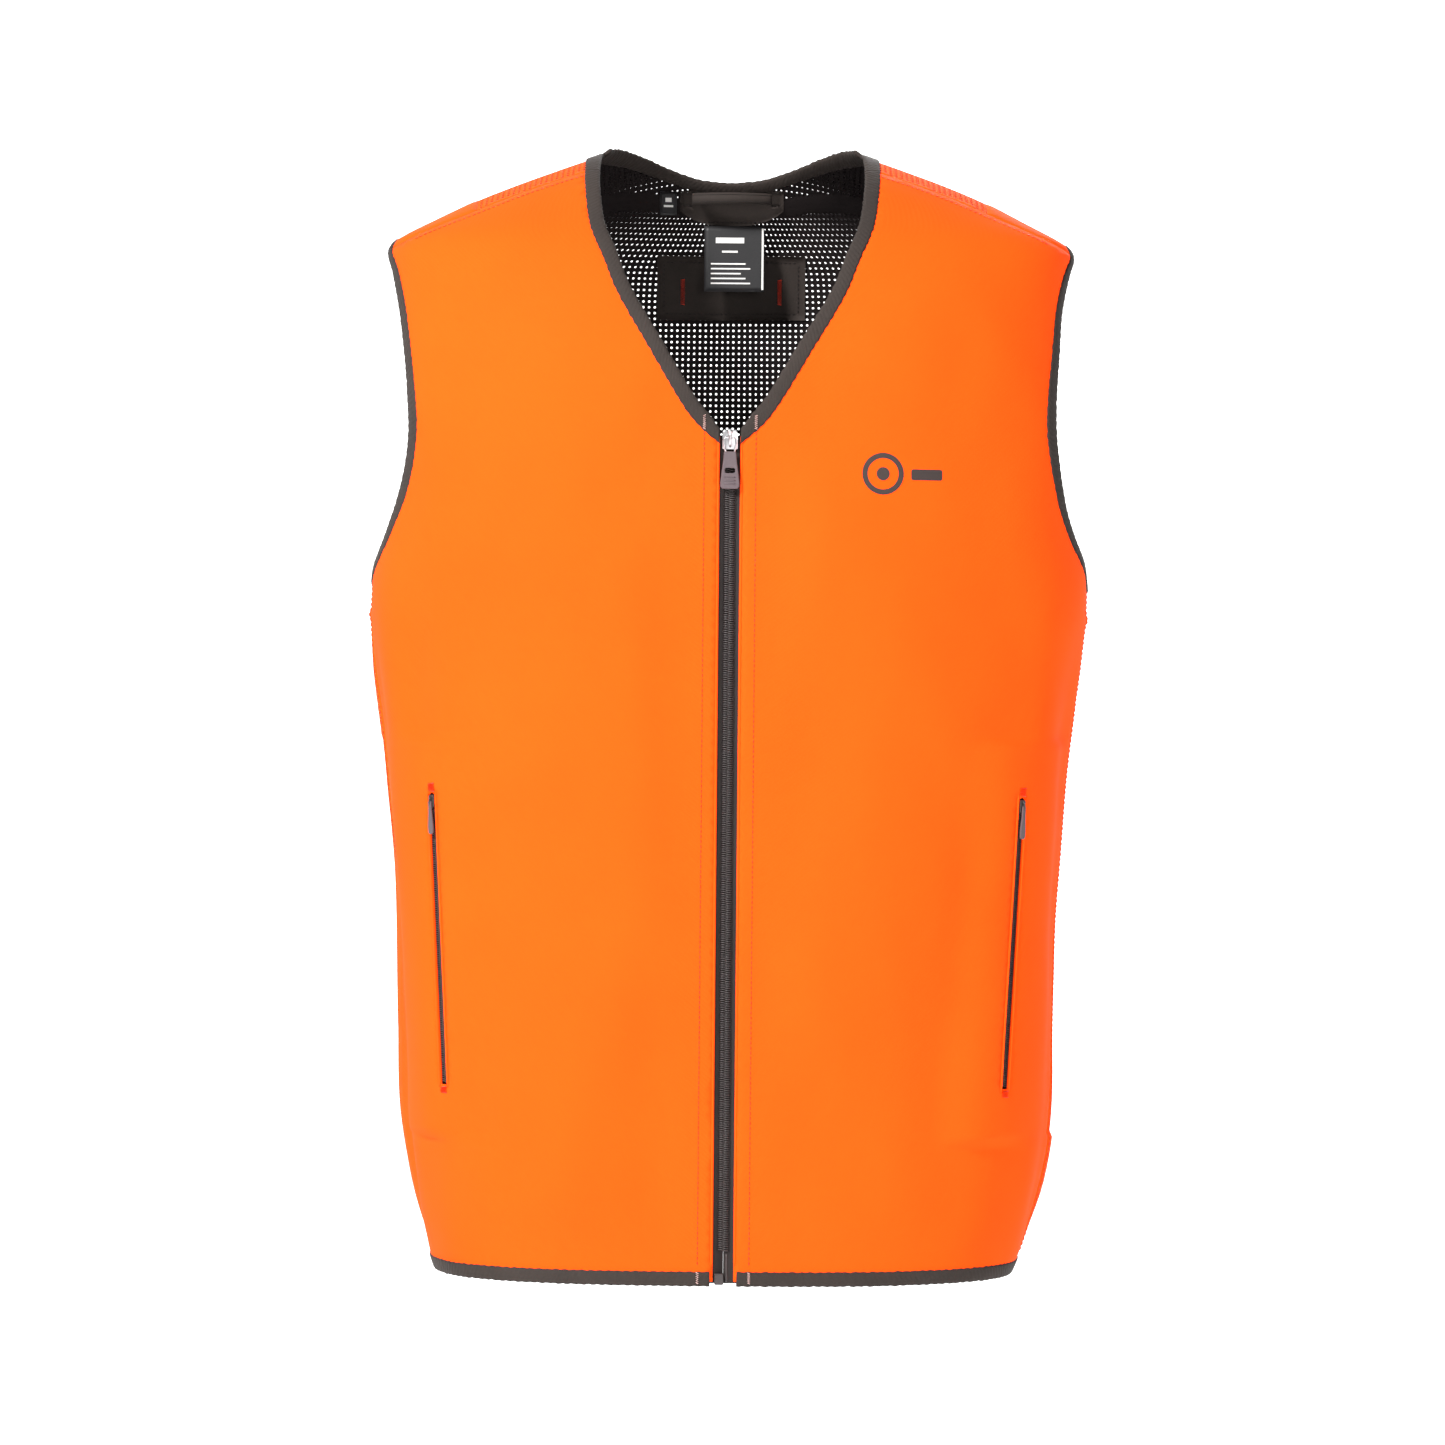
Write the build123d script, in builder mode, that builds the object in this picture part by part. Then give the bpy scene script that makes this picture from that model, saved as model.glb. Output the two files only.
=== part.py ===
"""A sleeveless full-zip softshell vest, modelled as worn, in millimetres.

Frame: +X to the wearer's left, +Y to the back, +Z up. The origin is the middle of the shoulder line,
between the two neck points, where a wearer's shoulders or a hanger carry the vest.
Heights in this file are heights above the hem, so every sketch plane below stands on the hem.
"""

import math
import os

from build123d import *

# ---------------------------------------------------------------- driving dimensions
SHOULDER_H = 688.0  # neck points above the hem
FABRIC_T = 1.4  # bonded softshell
BINDING_W = 9.0  # finished width of the folded elastic binding
BINDING_PROUD = 0.9  # how far the binding stands out of the fabric on each face
SEAM = 0.15  # half the gap left between two panels at a seam
REACH = 300.0  # longer than the vest is deep
TOP = 720.0  # above the whole vest

ZIP_H = 502.8  # top of the front edges
FRONT_EDGE = 6.2  # folded front edge to the middle of the zip
FRONT_AT_HEM, FRONT_AT_ZIP_TOP, ZIP_TOP = 118.0, 130.0, 511.0  # depth of the centre front line
FOLD_FOOT, FOLD_SLOPE = 118.0, 43.0 / 640.0  # where a front folds back: x at the hem, lean inwards
SIDE_SEAM_Y = -15.0

# Half width, front depth and back depth of the body against height above the hem
WIDTH = [
    (0, 178), (12, 182.5), (30, 187.5), (50, 191.8), (75, 195.8), (103, 198.7), (150, 201.5),
    (250, 207.5), (351, 213.6), (382, 217.2), (402, 219.4), (428, 219.6), (450, 216.5), (475, 213),
    (520, 210.5), (580, 210), (612, 211.5), (624, 212), (631, 208.5), (636, 201.5), (645.5, 183.5),
    (658, 158.5), (670, 130), (679, 106), (684, 92), (688, 81.5), (692, 76), (697, 71.5), (705, 68),
]
FRONT_DEPTH = [
    (0, FRONT_AT_HEM), (250, 123.87), (450, 128.57), (ZIP_TOP, FRONT_AT_ZIP_TOP), (540, 130),
    (570, 127), (600, 118.5), (620, 109), (634, 99.5), (645.5, 89), (658, 76), (670, 61.5),
    (679, 49.5), (684, 42), (688, 36), (692, 31), (697, 26), (705, 20),
]
BACK_DEPTH = [
    (0, 104), (50, 109), (110, 113), (200, 116), (300, 118), (400, 121), (460, 121), (520, 118.5),
    (570, 113.5), (610, 107), (640, 98), (660, 88), (679, 72), (688, 62), (694, 54), (705, 40),
]
SQUARENESS = [(0, 2.7), (600, 2.7), (690, 2.3), (705, 2.3)]
SECTIONS = [
    0, 12, 30, 60, 103, 200, 300, 382, 428, 475, 540, 600, 624, 636, 645.5, 658, 670, 679, 688, 697, 705,
]
POINTS_PER_QUARTER = 6

# ---------------------------------------------------------------- planes that stand on the hem
HEM = Plane(origin=(0, 0, -SHOULDER_H))
FRONT = Plane(origin=(0, 0, -SHOULDER_H), x_dir=(1, 0, 0), z_dir=(0, -1, 0))
SIDE = Plane(origin=(0, 0, -SHOULDER_H), x_dir=(0, 1, 0), z_dir=(1, 0, 0))


def along(knots, h):
    """A smooth curve through the knots, straight where the knots are in line."""
    h = min(max(h, knots[0][0]), knots[-1][0])
    i = max(j for j in range(len(knots) - 1) if knots[j][0] <= h)

    def slope(j):
        lo, hi = max(j - 1, 0), min(j + 1, len(knots) - 1)
        return (knots[hi][1] - knots[lo][1]) / (knots[hi][0] - knots[lo][0])

    (h0, v0), (h1, v1) = knots[i], knots[i + 1]
    step = h1 - h0
    t = (h - h0) / step
    return (
        (2 * t**3 - 3 * t**2 + 1) * v0 + (t**3 - 2 * t**2 + t) * step * slope(i)
        + (3 * t**2 - 2 * t**3) * v1 + (t**3 - t**2) * step * slope(i + 1)
    )


def inset(knots, h, depth):
    """The profile at height h, moved inwards by depth square to its own slope."""
    steep = (along(knots, h + 0.5) - along(knots, h - 0.5)) / 1.0
    return along(knots, h) - depth * math.sqrt(1 + steep**2)


def body_section(h, depth):
    """Points round the body at height h, the given depth under the fabric's outer face."""
    n = along(SQUARENESS, h)
    half_width = inset(WIDTH, h, depth)
    points = []
    for i in range(4 * POINTS_PER_QUARTER):
        angle = math.pi / 2 * (i + 0.5) / POINTS_PER_QUARTER
        reach = inset(BACK_DEPTH if math.sin(angle) > 0 else FRONT_DEPTH, h, depth)
        x = half_width * math.copysign(abs(math.cos(angle)) ** (2 / n), math.cos(angle))
        y = reach * math.copysign(abs(math.sin(angle)) ** (2 / n), math.sin(angle))
        points.append((x, y))
    return points


def body(depth):
    """The solid inside a surface that lies the given depth under the fabric's outer face."""
    with BuildPart() as solid:
        for h in SECTIONS:
            with BuildSketch(HEM.offset(h)):
                with BuildLine():
                    Spline(*body_section(h, depth), periodic=True)
                make_face()
        loft(ruled=True)
    return solid.part


def layer(outer, inner):
    """A closed skin round the body between two depths."""
    with BuildPart() as skin:
        add(body(outer))
        add(body(inner), mode=Mode.SUBTRACT)
    return skin.part


def front_y(x, h, depth=0.0):
    """Where the front of the body lies at x and h."""
    n = along(SQUARENESS, h)
    share = min(1.0, abs(x) / inset(WIDTH, h, depth))
    return -inset(FRONT_DEPTH, h, depth) * (1 - share**n) ** (1 / n)


def back_y(x, h, depth=0.0):
    """Where the back of the body lies at x and h."""
    n = along(SQUARENESS, h)
    share = min(1.0, abs(x) / inset(WIDTH, h, depth))
    return inset(BACK_DEPTH, h, depth) * (1 - share**n) ** (1 / n)


def finish(builder, name):
    """Writes one finished piece."""
    builder.part.label = name
    export_step(builder.part, f"parts/{name}.step")


def mirrored(builder):
    """The same piece on the wearer's right."""
    with BuildPart() as other:
        add(builder.part)
        mirror(about=Plane.YZ, mode=Mode.REPLACE)
    return other


def finish_pair(builder, name):
    """Writes a piece of the wearer's left, and its mirror image."""
    finish(builder, name.replace("SIDE", "left"))
    finish(mirrored(builder), name.replace("SIDE", "right"))


os.makedirs("parts", exist_ok=True)

# ---------------------------------------------------------------- cutting lines, wearer's left half, as (x, h)
NECK_FREE = [
    (FRONT_EDGE, 511.5), (12.5, 520), (22.6, 533), (41.3, 564.6), (60.2, 597), (69, 619),
    (76.8, 638.5), (80.4, 661), (81.2, 676), (80.5, 689), (80, 719),
]
NECK_SEWN = [
    (FRONT_EDGE, ZIP_H), (19.3, 514), (30, 528), (49, 560), (68, 593), (77.3, 616),
    (85.5, 636), (89.3, 660), (90.2, 674), (90.2, 684), (90, 719),
]
BACK_NECK_FREE = [(80.5, 688.6), (76, 692.2), (68, 694), (55, 691.3), (40, 686.3), (20, 680.8), (0, 679)]
BACK_NECK_SEWN = [(90, 685), (80, 686.3), (68, 686), (55, 683.5), (40, 679.3), (20, 674), (0, 672.3)]
SHOULDER_FRONT_SEAM = [(70, 676.5), (90, 673.5), (125, 661.5), (160, 647), (190, 634.5), (240, 612)]
SHOULDER_BACK_SEAM = [
    (0, 663), (30, 665), (60, 668), (90, 664), (125, 652), (160, 638), (195, 622), (240, 602),
]
YOKE_END = 156.0  # the perforated part of the shoulder ends here, the plain cap begins
VENT_SEAM = [(162, 700), (155, 640), (157, 560), (154, 480), (147, 398)]
VENT_FOOT = 402.0  # foot of the perforated back panel
SIDE_X = 240.0  # outside the widest part
ARMHOLE = [
    ((0, 631), (0, 0.42)), ((-38, 611), (-0.85, 0.45)), ((-60, 566), (-1, 0.1)),
    ((-69, 508), (-1, -0.1)), ((-50, 452), (-0.7, -0.7)), ((-4, 428), (0, -1)),
    ((42, 450), (0.7, -0.7)), ((60, 505), (1, -0.1)), ((58, 566), (1, 0.1)), ((36, 611), (0.85, 0.45)),
]  # ((y, h), how the edge moves when the hole grows by 1)


def shifted(points, dx=0.0, dh=0.0):
    """The same line, moved."""
    return [(x + dx, h + dh) for x, h in points]


def armhole_cut(grow, mode=Mode.SUBTRACT):
    """The armhole, grown by a distance, through the wearer's left side of the part being built."""
    with BuildSketch(SIDE.offset(120)) as oval:
        with BuildLine():
            Spline(*[(y + grow * gy, h + grow * gh) for (y, h), (gy, gh) in ARMHOLE], periodic=True)
        make_face()
    extrude(oval.sketch, amount=REACH, mode=mode)


def fold_x(h):
    """Where the line a front folds back on stands at height h."""
    return FOLD_FOOT - FOLD_SLOPE * h


def inside_fold(gap, mode):
    """The part of the left front inside the fold line, which opens with the zip."""
    with BuildSketch(FRONT) as half:
        with BuildLine():
            Polyline((fold_x(-20) + gap, -20), (fold_x(TOP) + gap, TOP), (0, TOP), (0, -20), close=True)
        make_face()
    extrude(half.sketch, amount=REACH, mode=mode)


def block(plane, x, y, z, mode=Mode.ADD):
    """A straight block between two places along a plane's x, y and z."""
    with BuildSketch(plane.offset(z[0])) as face:
        with Locations(((x[0] + x[1]) / 2, (y[0] + y[1]) / 2)):
            Rectangle(x[1] - x[0], y[1] - y[0])
    extrude(face.sketch, amount=z[1] - z[0], mode=mode)


def outline(curves, near=0.0, far=REACH, mode=Mode.ADD):
    """A block over a closed front view outline; far is negative for the back.

    Each curve is a list of points: two make a straight line, more a smooth curve.
    """
    with BuildSketch(FRONT.offset(near)) as face:
        with BuildLine():
            for points in curves:
                if len(points) == 2:
                    Line(*points)
                else:
                    Spline(*points)
        make_face()
    extrude(face.sketch, amount=far - near, mode=mode)


def neck_cut(front_edge, back_edge, gap=0.0, mode=Mode.SUBTRACT):
    """The left half of the neck opening inside an edge given by its front and back curves."""
    front = shifted(front_edge, dx=gap, dh=-gap)
    back = shifted(back_edge, dx=gap, dh=-gap)
    outline([
        [(0, front[0][1]), front[0]], front, [front[-1], (0, TOP)], [(0, TOP), (0, front[0][1])],
    ], mode=mode)
    outline([
        back, [back[-1], (0, TOP)], [(0, TOP), (back[0][0], TOP)], [(back[0][0], TOP), back[0]],
    ], far=-REACH, mode=mode)


fabric = layer(0, FABRIC_T)
bound = layer(-BINDING_PROUD, FABRIC_T + BINDING_PROUD)


# ---------------------------------------------------------------- front panels and their pockets
POCKET_SHARE = 0.85  # the pocket zip follows the body at this share of its half width
POCKET_FOOT, POCKET_HEAD = 117.0, 293.0
SLIT_HALF = 2.5


def on_body(share, h):
    """The point of the wearer's left front at a share of the half width."""
    x = share * along(WIDTH, h)
    return Vector(x, front_y(x, h), h - SHOULDER_H)


pocket_low, pocket_high = on_body(POCKET_SHARE, POCKET_FOOT), on_body(POCKET_SHARE, POCKET_HEAD)
POCKET_L = (pocket_high - pocket_low).length
pocket_up = (pocket_high - pocket_low).normalized()
pocket_step = on_body(POCKET_SHARE + 0.02, 205) - on_body(POCKET_SHARE - 0.02, 205)
pocket_out = pocket_step.cross(pocket_up).normalized()
POCKET = Plane(
    origin=pocket_low, x_dir=pocket_up.cross(pocket_out), z_dir=pocket_out
)  # x across the zip towards the back, y up along it, z out of the fabric


def front_block():
    """The whole left front, from its folded edge to the side seam."""
    seam = shifted(SHOULDER_FRONT_SEAM, dh=-SEAM)
    foot = BINDING_W + SEAM
    outline([
        [(FRONT_EDGE, seam[0][1]), (FRONT_EDGE, foot)],
        [(FRONT_EDGE, foot), (SIDE_X, foot)],
        [(SIDE_X, foot), seam[-1]],
        seam,
        [seam[0], (FRONT_EDGE, seam[0][1])],
    ], near=-SIDE_SEAM_Y + SEAM)
    neck_cut(NECK_SEWN, BACK_NECK_SEWN, gap=SEAM)
    add(fabric, mode=Mode.INTERSECT)


with BuildPart() as front_panel:
    front_block()
    inside_fold(-SEAM, Mode.INTERSECT)
finish_pair(front_panel, "front_SIDE_panel")

with BuildPart() as front_side_panel:
    front_block()
    inside_fold(SEAM, Mode.SUBTRACT)
    armhole_cut(BINDING_W + SEAM)
    block(POCKET, (-SLIT_HALF, SLIT_HALF), (0, POCKET_L), (-8, 8), mode=Mode.SUBTRACT)
finish_pair(front_side_panel, "front_SIDE_side_panel")

# ---------------------------------------------------------------- shoulders and back


def shoulder_block():
    """Both slopes of the left shoulder, between its front and back seams."""
    front_seam = shifted(SHOULDER_FRONT_SEAM, dh=SEAM)
    back_seam = shifted(SHOULDER_BACK_SEAM, dh=SEAM)
    for seam, far in ((front_seam, REACH), (back_seam, -REACH)):
        outline([
            seam, [seam[-1], (SIDE_X, TOP)], [(SIDE_X, TOP), (seam[0][0], TOP)],
            [(seam[0][0], TOP), seam[0]],
        ], far=far)
    neck_cut(NECK_SEWN, BACK_NECK_SEWN, gap=SEAM)
    add(fabric, mode=Mode.INTERSECT)


def back_block(foot):
    """The left back from the side seam to the middle, above a straight lower edge."""
    seam = shifted(SHOULDER_BACK_SEAM, dh=-SEAM)
    outline([
        seam, [seam[-1], (SIDE_X, foot)], [(SIDE_X, foot), (0, foot)], [(0, foot), seam[0]],
    ], near=-SIDE_SEAM_Y - SEAM, far=-REACH)
    add(fabric, mode=Mode.INTERSECT)


def outside_vent(gap, mode):
    """The part of the left back beside the perforated panel."""
    seam = shifted(VENT_SEAM, dx=gap)
    outline([
        seam, [seam[-1], (SIDE_X, seam[-1][1])], [(SIDE_X, seam[-1][1]), (SIDE_X, seam[0][1])],
        [(SIDE_X, seam[0][1]), seam[0]],
    ], near=REACH, far=-REACH, mode=mode)


with BuildPart() as shoulder_yoke:
    shoulder_block()
    block(FRONT, (0, YOKE_END - SEAM), (0, TOP), (-REACH, REACH), mode=Mode.INTERSECT)
    mirror(about=Plane.YZ)
finish(shoulder_yoke, "shoulder_yoke")

with BuildPart() as shoulder_cap:
    shoulder_block()
    block(FRONT, (YOKE_END + SEAM, SIDE_X), (0, TOP), (-REACH, REACH), mode=Mode.INTERSECT)
    armhole_cut(BINDING_W + SEAM)
finish_pair(shoulder_cap, "shoulder_SIDE_cap")

with BuildPart() as back_vent_panel:
    back_block(VENT_FOOT + SEAM)
    outside_vent(-SEAM, Mode.SUBTRACT)
    mirror(about=Plane.YZ)
finish(back_vent_panel, "back_vent_panel")

with BuildPart() as back_side_panel:
    back_block(VENT_FOOT + SEAM)
    outside_vent(SEAM, Mode.INTERSECT)
    armhole_cut(BINDING_W + SEAM)
finish_pair(back_side_panel, "back_SIDE_panel")

with BuildPart() as back_lower_panel:
    block(
        FRONT, (0, SIDE_X), (BINDING_W + SEAM, VENT_FOOT - SEAM), (-REACH, -SIDE_SEAM_Y - SEAM)
    )
    add(fabric, mode=Mode.INTERSECT)
    mirror(about=Plane.YZ)
finish(back_lower_panel, "back_lower_panel")

# ---------------------------------------------------------------- elastic bindings
HEM_BINDING_END = 7.2  # where the hem binding stops beside the zip


def neck_ring():
    """The left half of the neck binding."""
    neck_cut(NECK_SEWN, BACK_NECK_SEWN, mode=Mode.ADD)
    neck_cut(NECK_FREE, BACK_NECK_FREE)
    add(bound, mode=Mode.INTERSECT)


with BuildPart() as neck_binding_front:
    neck_ring()
    inside_fold(-SEAM, Mode.INTERSECT)
    block(FRONT, (FRONT_EDGE, SIDE_X), (0, TOP), (0, REACH), mode=Mode.INTERSECT)
finish_pair(neck_binding_front, "neck_binding_SIDE")

with BuildPart() as neck_binding:
    neck_ring()
    inside_fold(SEAM, Mode.SUBTRACT)
    mirror(about=Plane.YZ)
finish(neck_binding, "neck_binding")

with BuildPart() as armhole_binding:
    armhole_cut(BINDING_W, mode=Mode.ADD)
    armhole_cut(0)
    add(bound, mode=Mode.INTERSECT)
finish_pair(armhole_binding, "armhole_binding_SIDE")

with BuildPart() as hem_binding_front:
    block(FRONT, (HEM_BINDING_END, SIDE_X), (0, BINDING_W), (0, REACH))
    inside_fold(-SEAM, Mode.INTERSECT)
    add(bound, mode=Mode.INTERSECT)
finish_pair(hem_binding_front, "hem_binding_SIDE")

with BuildPart() as hem_binding:
    block(FRONT, (0, SIDE_X), (0, BINDING_W), (-REACH, REACH))
    inside_fold(SEAM, Mode.SUBTRACT)
    add(bound, mode=Mode.INTERSECT)
    mirror(about=Plane.YZ)
finish(hem_binding, "hem_binding")

# ---------------------------------------------------------------- front zip
ZIP = Plane(
    origin=(0, -FRONT_AT_HEM, -SHOULDER_H), x_dir=(1, 0, 0),
    z_dir=(0, -ZIP_TOP, FRONT_AT_HEM - FRONT_AT_ZIP_TOP),
)  # x to the wearer's left, y up the chain, z out of the fabric
ROW = (0.5, 3.1)  # one row of the coil, from the middle of the zip outwards
ROW_DEPTH = (-3.0, -0.8)
TAPE_DEPTH = (-2.2, -1.6)
TAPE_OUT = 18.0  # outer edge of a tape
ROW_FOOT, ROW_HEAD = 21.0, 498.5
SLIDER_LOW, SLIDER_HIGH = 499.5, 511.5
SLIDER_HALF = 4.8
PULL_CLEAR_LOW = 474.0  # the left row stops below the closed slider and its hanging pull
PIN_HEAD = 20.0
BOX_HEAD = 8.0


def flip(x):
    """The same stretch of x on the wearer's right."""
    return (-x[1], -x[0])


with BuildPart() as zip_tape_right:
    block(ZIP, flip((ROW[1] + 0.1, TAPE_OUT)), (BINDING_W + 0.3, ROW_HEAD), TAPE_DEPTH)
    block(ZIP, flip((SLIDER_HALF + 0.6, TAPE_OUT)), (ROW_HEAD, ZIP_H - 0.8), TAPE_DEPTH)
finish(zip_tape_right, "zip_tape_right")

with BuildPart() as zip_tape_left:
    block(ZIP, (ROW[1] + 0.1, TAPE_OUT), (BINDING_W + 0.3, PULL_CLEAR_LOW), TAPE_DEPTH)
    block(ZIP, (FRONT_EDGE + 0.3, TAPE_OUT), (PULL_CLEAR_LOW, ZIP_H - 0.8), TAPE_DEPTH)
    block(ZIP, (ROW[1] + 0.1, FRONT_EDGE), (2, BINDING_W + 0.3), TAPE_DEPTH)
finish(zip_tape_left, "zip_tape_left")

with BuildPart() as zip_teeth_right:
    block(ZIP, flip(ROW), (BOX_HEAD + 0.3, ROW_HEAD), ROW_DEPTH)
finish(zip_teeth_right, "zip_teeth_right")

with BuildPart() as zip_teeth_left:
    block(ZIP, ROW, (ROW_FOOT, PULL_CLEAR_LOW), ROW_DEPTH)
finish(zip_teeth_left, "zip_teeth_left")

with BuildPart() as zip_insertion_pin:
    block(ZIP, (0.8, ROW[1]), (2, PIN_HEAD), ROW_DEPTH)
    chamfer(zip_insertion_pin.edges().group_by(Axis.Z)[0], 0.4)
finish(zip_insertion_pin, "zip_insertion_pin")

with BuildPart() as zip_retainer_box:
    block(ZIP, (-5.2, 0.4), (1, BOX_HEAD), (-4.2, 0.2))
    fillet(zip_retainer_box.edges().group_by(Axis.Y)[0], 0.6)
finish(zip_retainer_box, "zip_retainer_box")

CROWN_HALF, BAIL_R = 1.6, 0.6
BAIL_UP, BAIL_OUT = 506.5, 2.2  # the pull turns about this line: height, and distance from the fabric

with BuildPart() as zip_slider:
    for near, far in ((-0.4, 0.8), (-4.4, -3.4)):
        with BuildSketch(ZIP.offset(near)):
            with Locations((0, (SLIDER_LOW + SLIDER_HIGH) / 2)):
                RectangleRounded(2 * SLIDER_HALF, SLIDER_HIGH - SLIDER_LOW, 2.0)
        extrude(amount=far - near)
    for x in ((SLIDER_HALF - 0.8, SLIDER_HALF), (-SLIDER_HALF, 0.8 - SLIDER_HALF)):
        block(ZIP, x, (SLIDER_LOW + 3, SLIDER_HIGH - 3), (-1.2, -0.4))
        block(ZIP, x, (SLIDER_LOW + 3, SLIDER_HIGH - 3), (-3.4, -2.6))
    block(ZIP, (-0.3, 0.3), (SLIDER_HIGH - 5, SLIDER_HIGH - 1), (-3.4, -0.4))
    block(ZIP, (-CROWN_HALF, CROWN_HALF), (BAIL_UP - 2, BAIL_UP + 2), (0.8, BAIL_OUT + 1.3))
    with BuildSketch(Plane(origin=ZIP.from_local_coords((-CROWN_HALF - 1, BAIL_UP, BAIL_OUT)),
                           x_dir=ZIP.y_dir, z_dir=ZIP.x_dir)):
        Circle(BAIL_R + 0.1)
    extrude(amount=2 * CROWN_HALF + 2, mode=Mode.SUBTRACT)
finish(zip_slider, "zip_slider")

BAIL_HALF = 3.9
TAB_LOW, TAB_HIGH, TAB_HALF, TAB_TOP_HALF = 476.0, 498.4, 5.9, 3.9
BAIL_DEPTH = (1.6, 2.8)

with BuildPart() as zip_pull_bail:
    with BuildSketch(Plane(origin=ZIP.from_local_coords((-BAIL_HALF, BAIL_UP, BAIL_OUT)),
                           x_dir=ZIP.y_dir, z_dir=ZIP.x_dir)):
        Circle(BAIL_R)
    extrude(amount=2 * BAIL_HALF)
    for x in ((BAIL_HALF - 1.2, BAIL_HALF), (-BAIL_HALF, 1.2 - BAIL_HALF)):
        block(ZIP, x, (TAB_HIGH, BAIL_UP + BAIL_R), BAIL_DEPTH)
    block(ZIP, (-BAIL_HALF, BAIL_HALF), (TAB_HIGH, TAB_HIGH + 1.6), BAIL_DEPTH)
finish(zip_pull_bail, "zip_pull_bail")

with BuildPart() as zip_pull_tab:
    with BuildSketch(ZIP.offset(1.1)):
        with BuildLine():
            Polyline(
                (-TAB_HALF, TAB_LOW + TAB_HALF), (-TAB_TOP_HALF, TAB_HIGH), (TAB_TOP_HALF, TAB_HIGH),
                (TAB_HALF, TAB_LOW + TAB_HALF),
            )
            ThreePointArc((TAB_HALF, TAB_LOW + TAB_HALF), (0, TAB_LOW), (-TAB_HALF, TAB_LOW + TAB_HALF))
        make_face()
        with Locations((0, 487)):
            Rectangle(6, 3, mode=Mode.SUBTRACT)
    extrude(amount=2.2)
finish(zip_pull_tab, "zip_pull_tab")

# ---------------------------------------------------------------- pocket zips
POCKET_ROW = (0.4, 1.9)
POCKET_SLIDER_HALF = 2.2
POCKET_SLIDER_L = 8.0
POCKET_CROWN_HALF, POCKET_BAR_R = 1.0, 0.45
POCKET_PULL_L, POCKET_PULL_HALF = 20.0, 2.1
pocket_bar_up, POCKET_BAR_OUT = POCKET_L - 5.0, 1.5

with BuildPart() as pocket_tape:
    block(POCKET, (-12, 12), (-6, POCKET_L + 8), (-8, 8))
    block(POCKET, (-2.4, 2.4), (-8, POCKET_L + 10), (-8, 8), mode=Mode.SUBTRACT)
    add(layer(1.7, 2.3), mode=Mode.INTERSECT)
finish_pair(pocket_tape, "pocket_SIDE_tapes")

with BuildPart() as pocket_teeth:
    for x in (POCKET_ROW, flip(POCKET_ROW)):
        block(POCKET, x, (1, POCKET_L - 9.5), (-2.9, -1.1))
finish_pair(pocket_teeth, "pocket_SIDE_teeth")

with BuildPart() as pocket_slider:
    low = POCKET_L - 1 - POCKET_SLIDER_L
    block(POCKET, (-POCKET_SLIDER_HALF, POCKET_SLIDER_HALF), (low, low + POCKET_SLIDER_L), (-0.8, 0.2))
    block(POCKET, (-POCKET_SLIDER_HALF, POCKET_SLIDER_HALF), (low, low + POCKET_SLIDER_L), (-4.0, -3.2))
    block(POCKET, (-0.25, 0.25), (low + 4, low + 7), (-3.2, -0.8))
    block(
        POCKET, (-POCKET_CROWN_HALF, POCKET_CROWN_HALF),
        (pocket_bar_up - 1.5, pocket_bar_up + 1.5), (0.2, POCKET_BAR_OUT + 1.0),
    )
    with BuildSketch(Plane(origin=POCKET.from_local_coords((-5, pocket_bar_up, POCKET_BAR_OUT)),
                           x_dir=POCKET.y_dir, z_dir=POCKET.x_dir)):
        Circle(POCKET_BAR_R + 0.1)
    extrude(amount=10, mode=Mode.SUBTRACT)
finish_pair(pocket_slider, "pocket_SIDE_slider")

with BuildPart() as pocket_pull:
    with BuildSketch(Plane(origin=POCKET.from_local_coords((-POCKET_PULL_HALF, pocket_bar_up, POCKET_BAR_OUT)),
                           x_dir=POCKET.y_dir, z_dir=POCKET.x_dir)):
        Circle(POCKET_BAR_R)
    extrude(amount=2 * POCKET_PULL_HALF)
    for x in ((1.3, POCKET_PULL_HALF), (-POCKET_PULL_HALF, -1.3)):
        block(POCKET, x, (pocket_bar_up - 3, pocket_bar_up + 0.7), (0.9, 2.1))
    block(
        POCKET, (-POCKET_PULL_HALF, POCKET_PULL_HALF),
        (pocket_bar_up - POCKET_PULL_L, pocket_bar_up - 3), (0.9, 2.1),
    )
finish_pair(pocket_pull, "pocket_SIDE_pull")

BAG_REACH = 48.0  # how far a pocket bag goes from its zip towards the front edge
with BuildPart() as pocket_bag:
    block(POCKET, (-BAG_REACH, 14), (-44, POCKET_L + 12), (-40, 10))
    add(layer(4.8, 6.2), mode=Mode.INTERSECT)
finish_pair(pocket_bag, "pocket_SIDE_bag")

# ---------------------------------------------------------------- inside the neck and on the back
with BuildPart() as neck_facing:
    outline([
        [(-33, 675.5), (-18, 672.6), (0, 671.4), (18, 672.6), (33, 675.5)],
        [(33, 675.5), (19, 660.5), (0, 654), (-19, 660.5), (-33, 675.5)],
    ], far=-REACH)
    add(layer(1.7, 2.3), mode=Mode.INTERSECT)
finish(neck_facing, "neck_facing")

LOOP_HALF, LOOP_LOW, LOOP_HIGH, LOOP_Y, LOOP_BOW = 25.5, 665.0, 672.5, 72.5, 7.5
with BuildPart() as hang_loop:
    with BuildSketch(HEM.offset(LOOP_LOW)):
        with BuildLine():
            ThreePointArc((-LOOP_HALF, LOOP_Y), (0, LOOP_Y - LOOP_BOW), (LOOP_HALF, LOOP_Y))
            Line((LOOP_HALF, LOOP_Y), (LOOP_HALF, LOOP_Y - 1))
            ThreePointArc((LOOP_HALF, LOOP_Y - 1), (0, LOOP_Y - LOOP_BOW - 1), (-LOOP_HALF, LOOP_Y - 1))
            Line((-LOOP_HALF, LOOP_Y - 1), (-LOOP_HALF, LOOP_Y))
        make_face()
    extrude(amount=LOOP_HIGH - LOOP_LOW)
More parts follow.
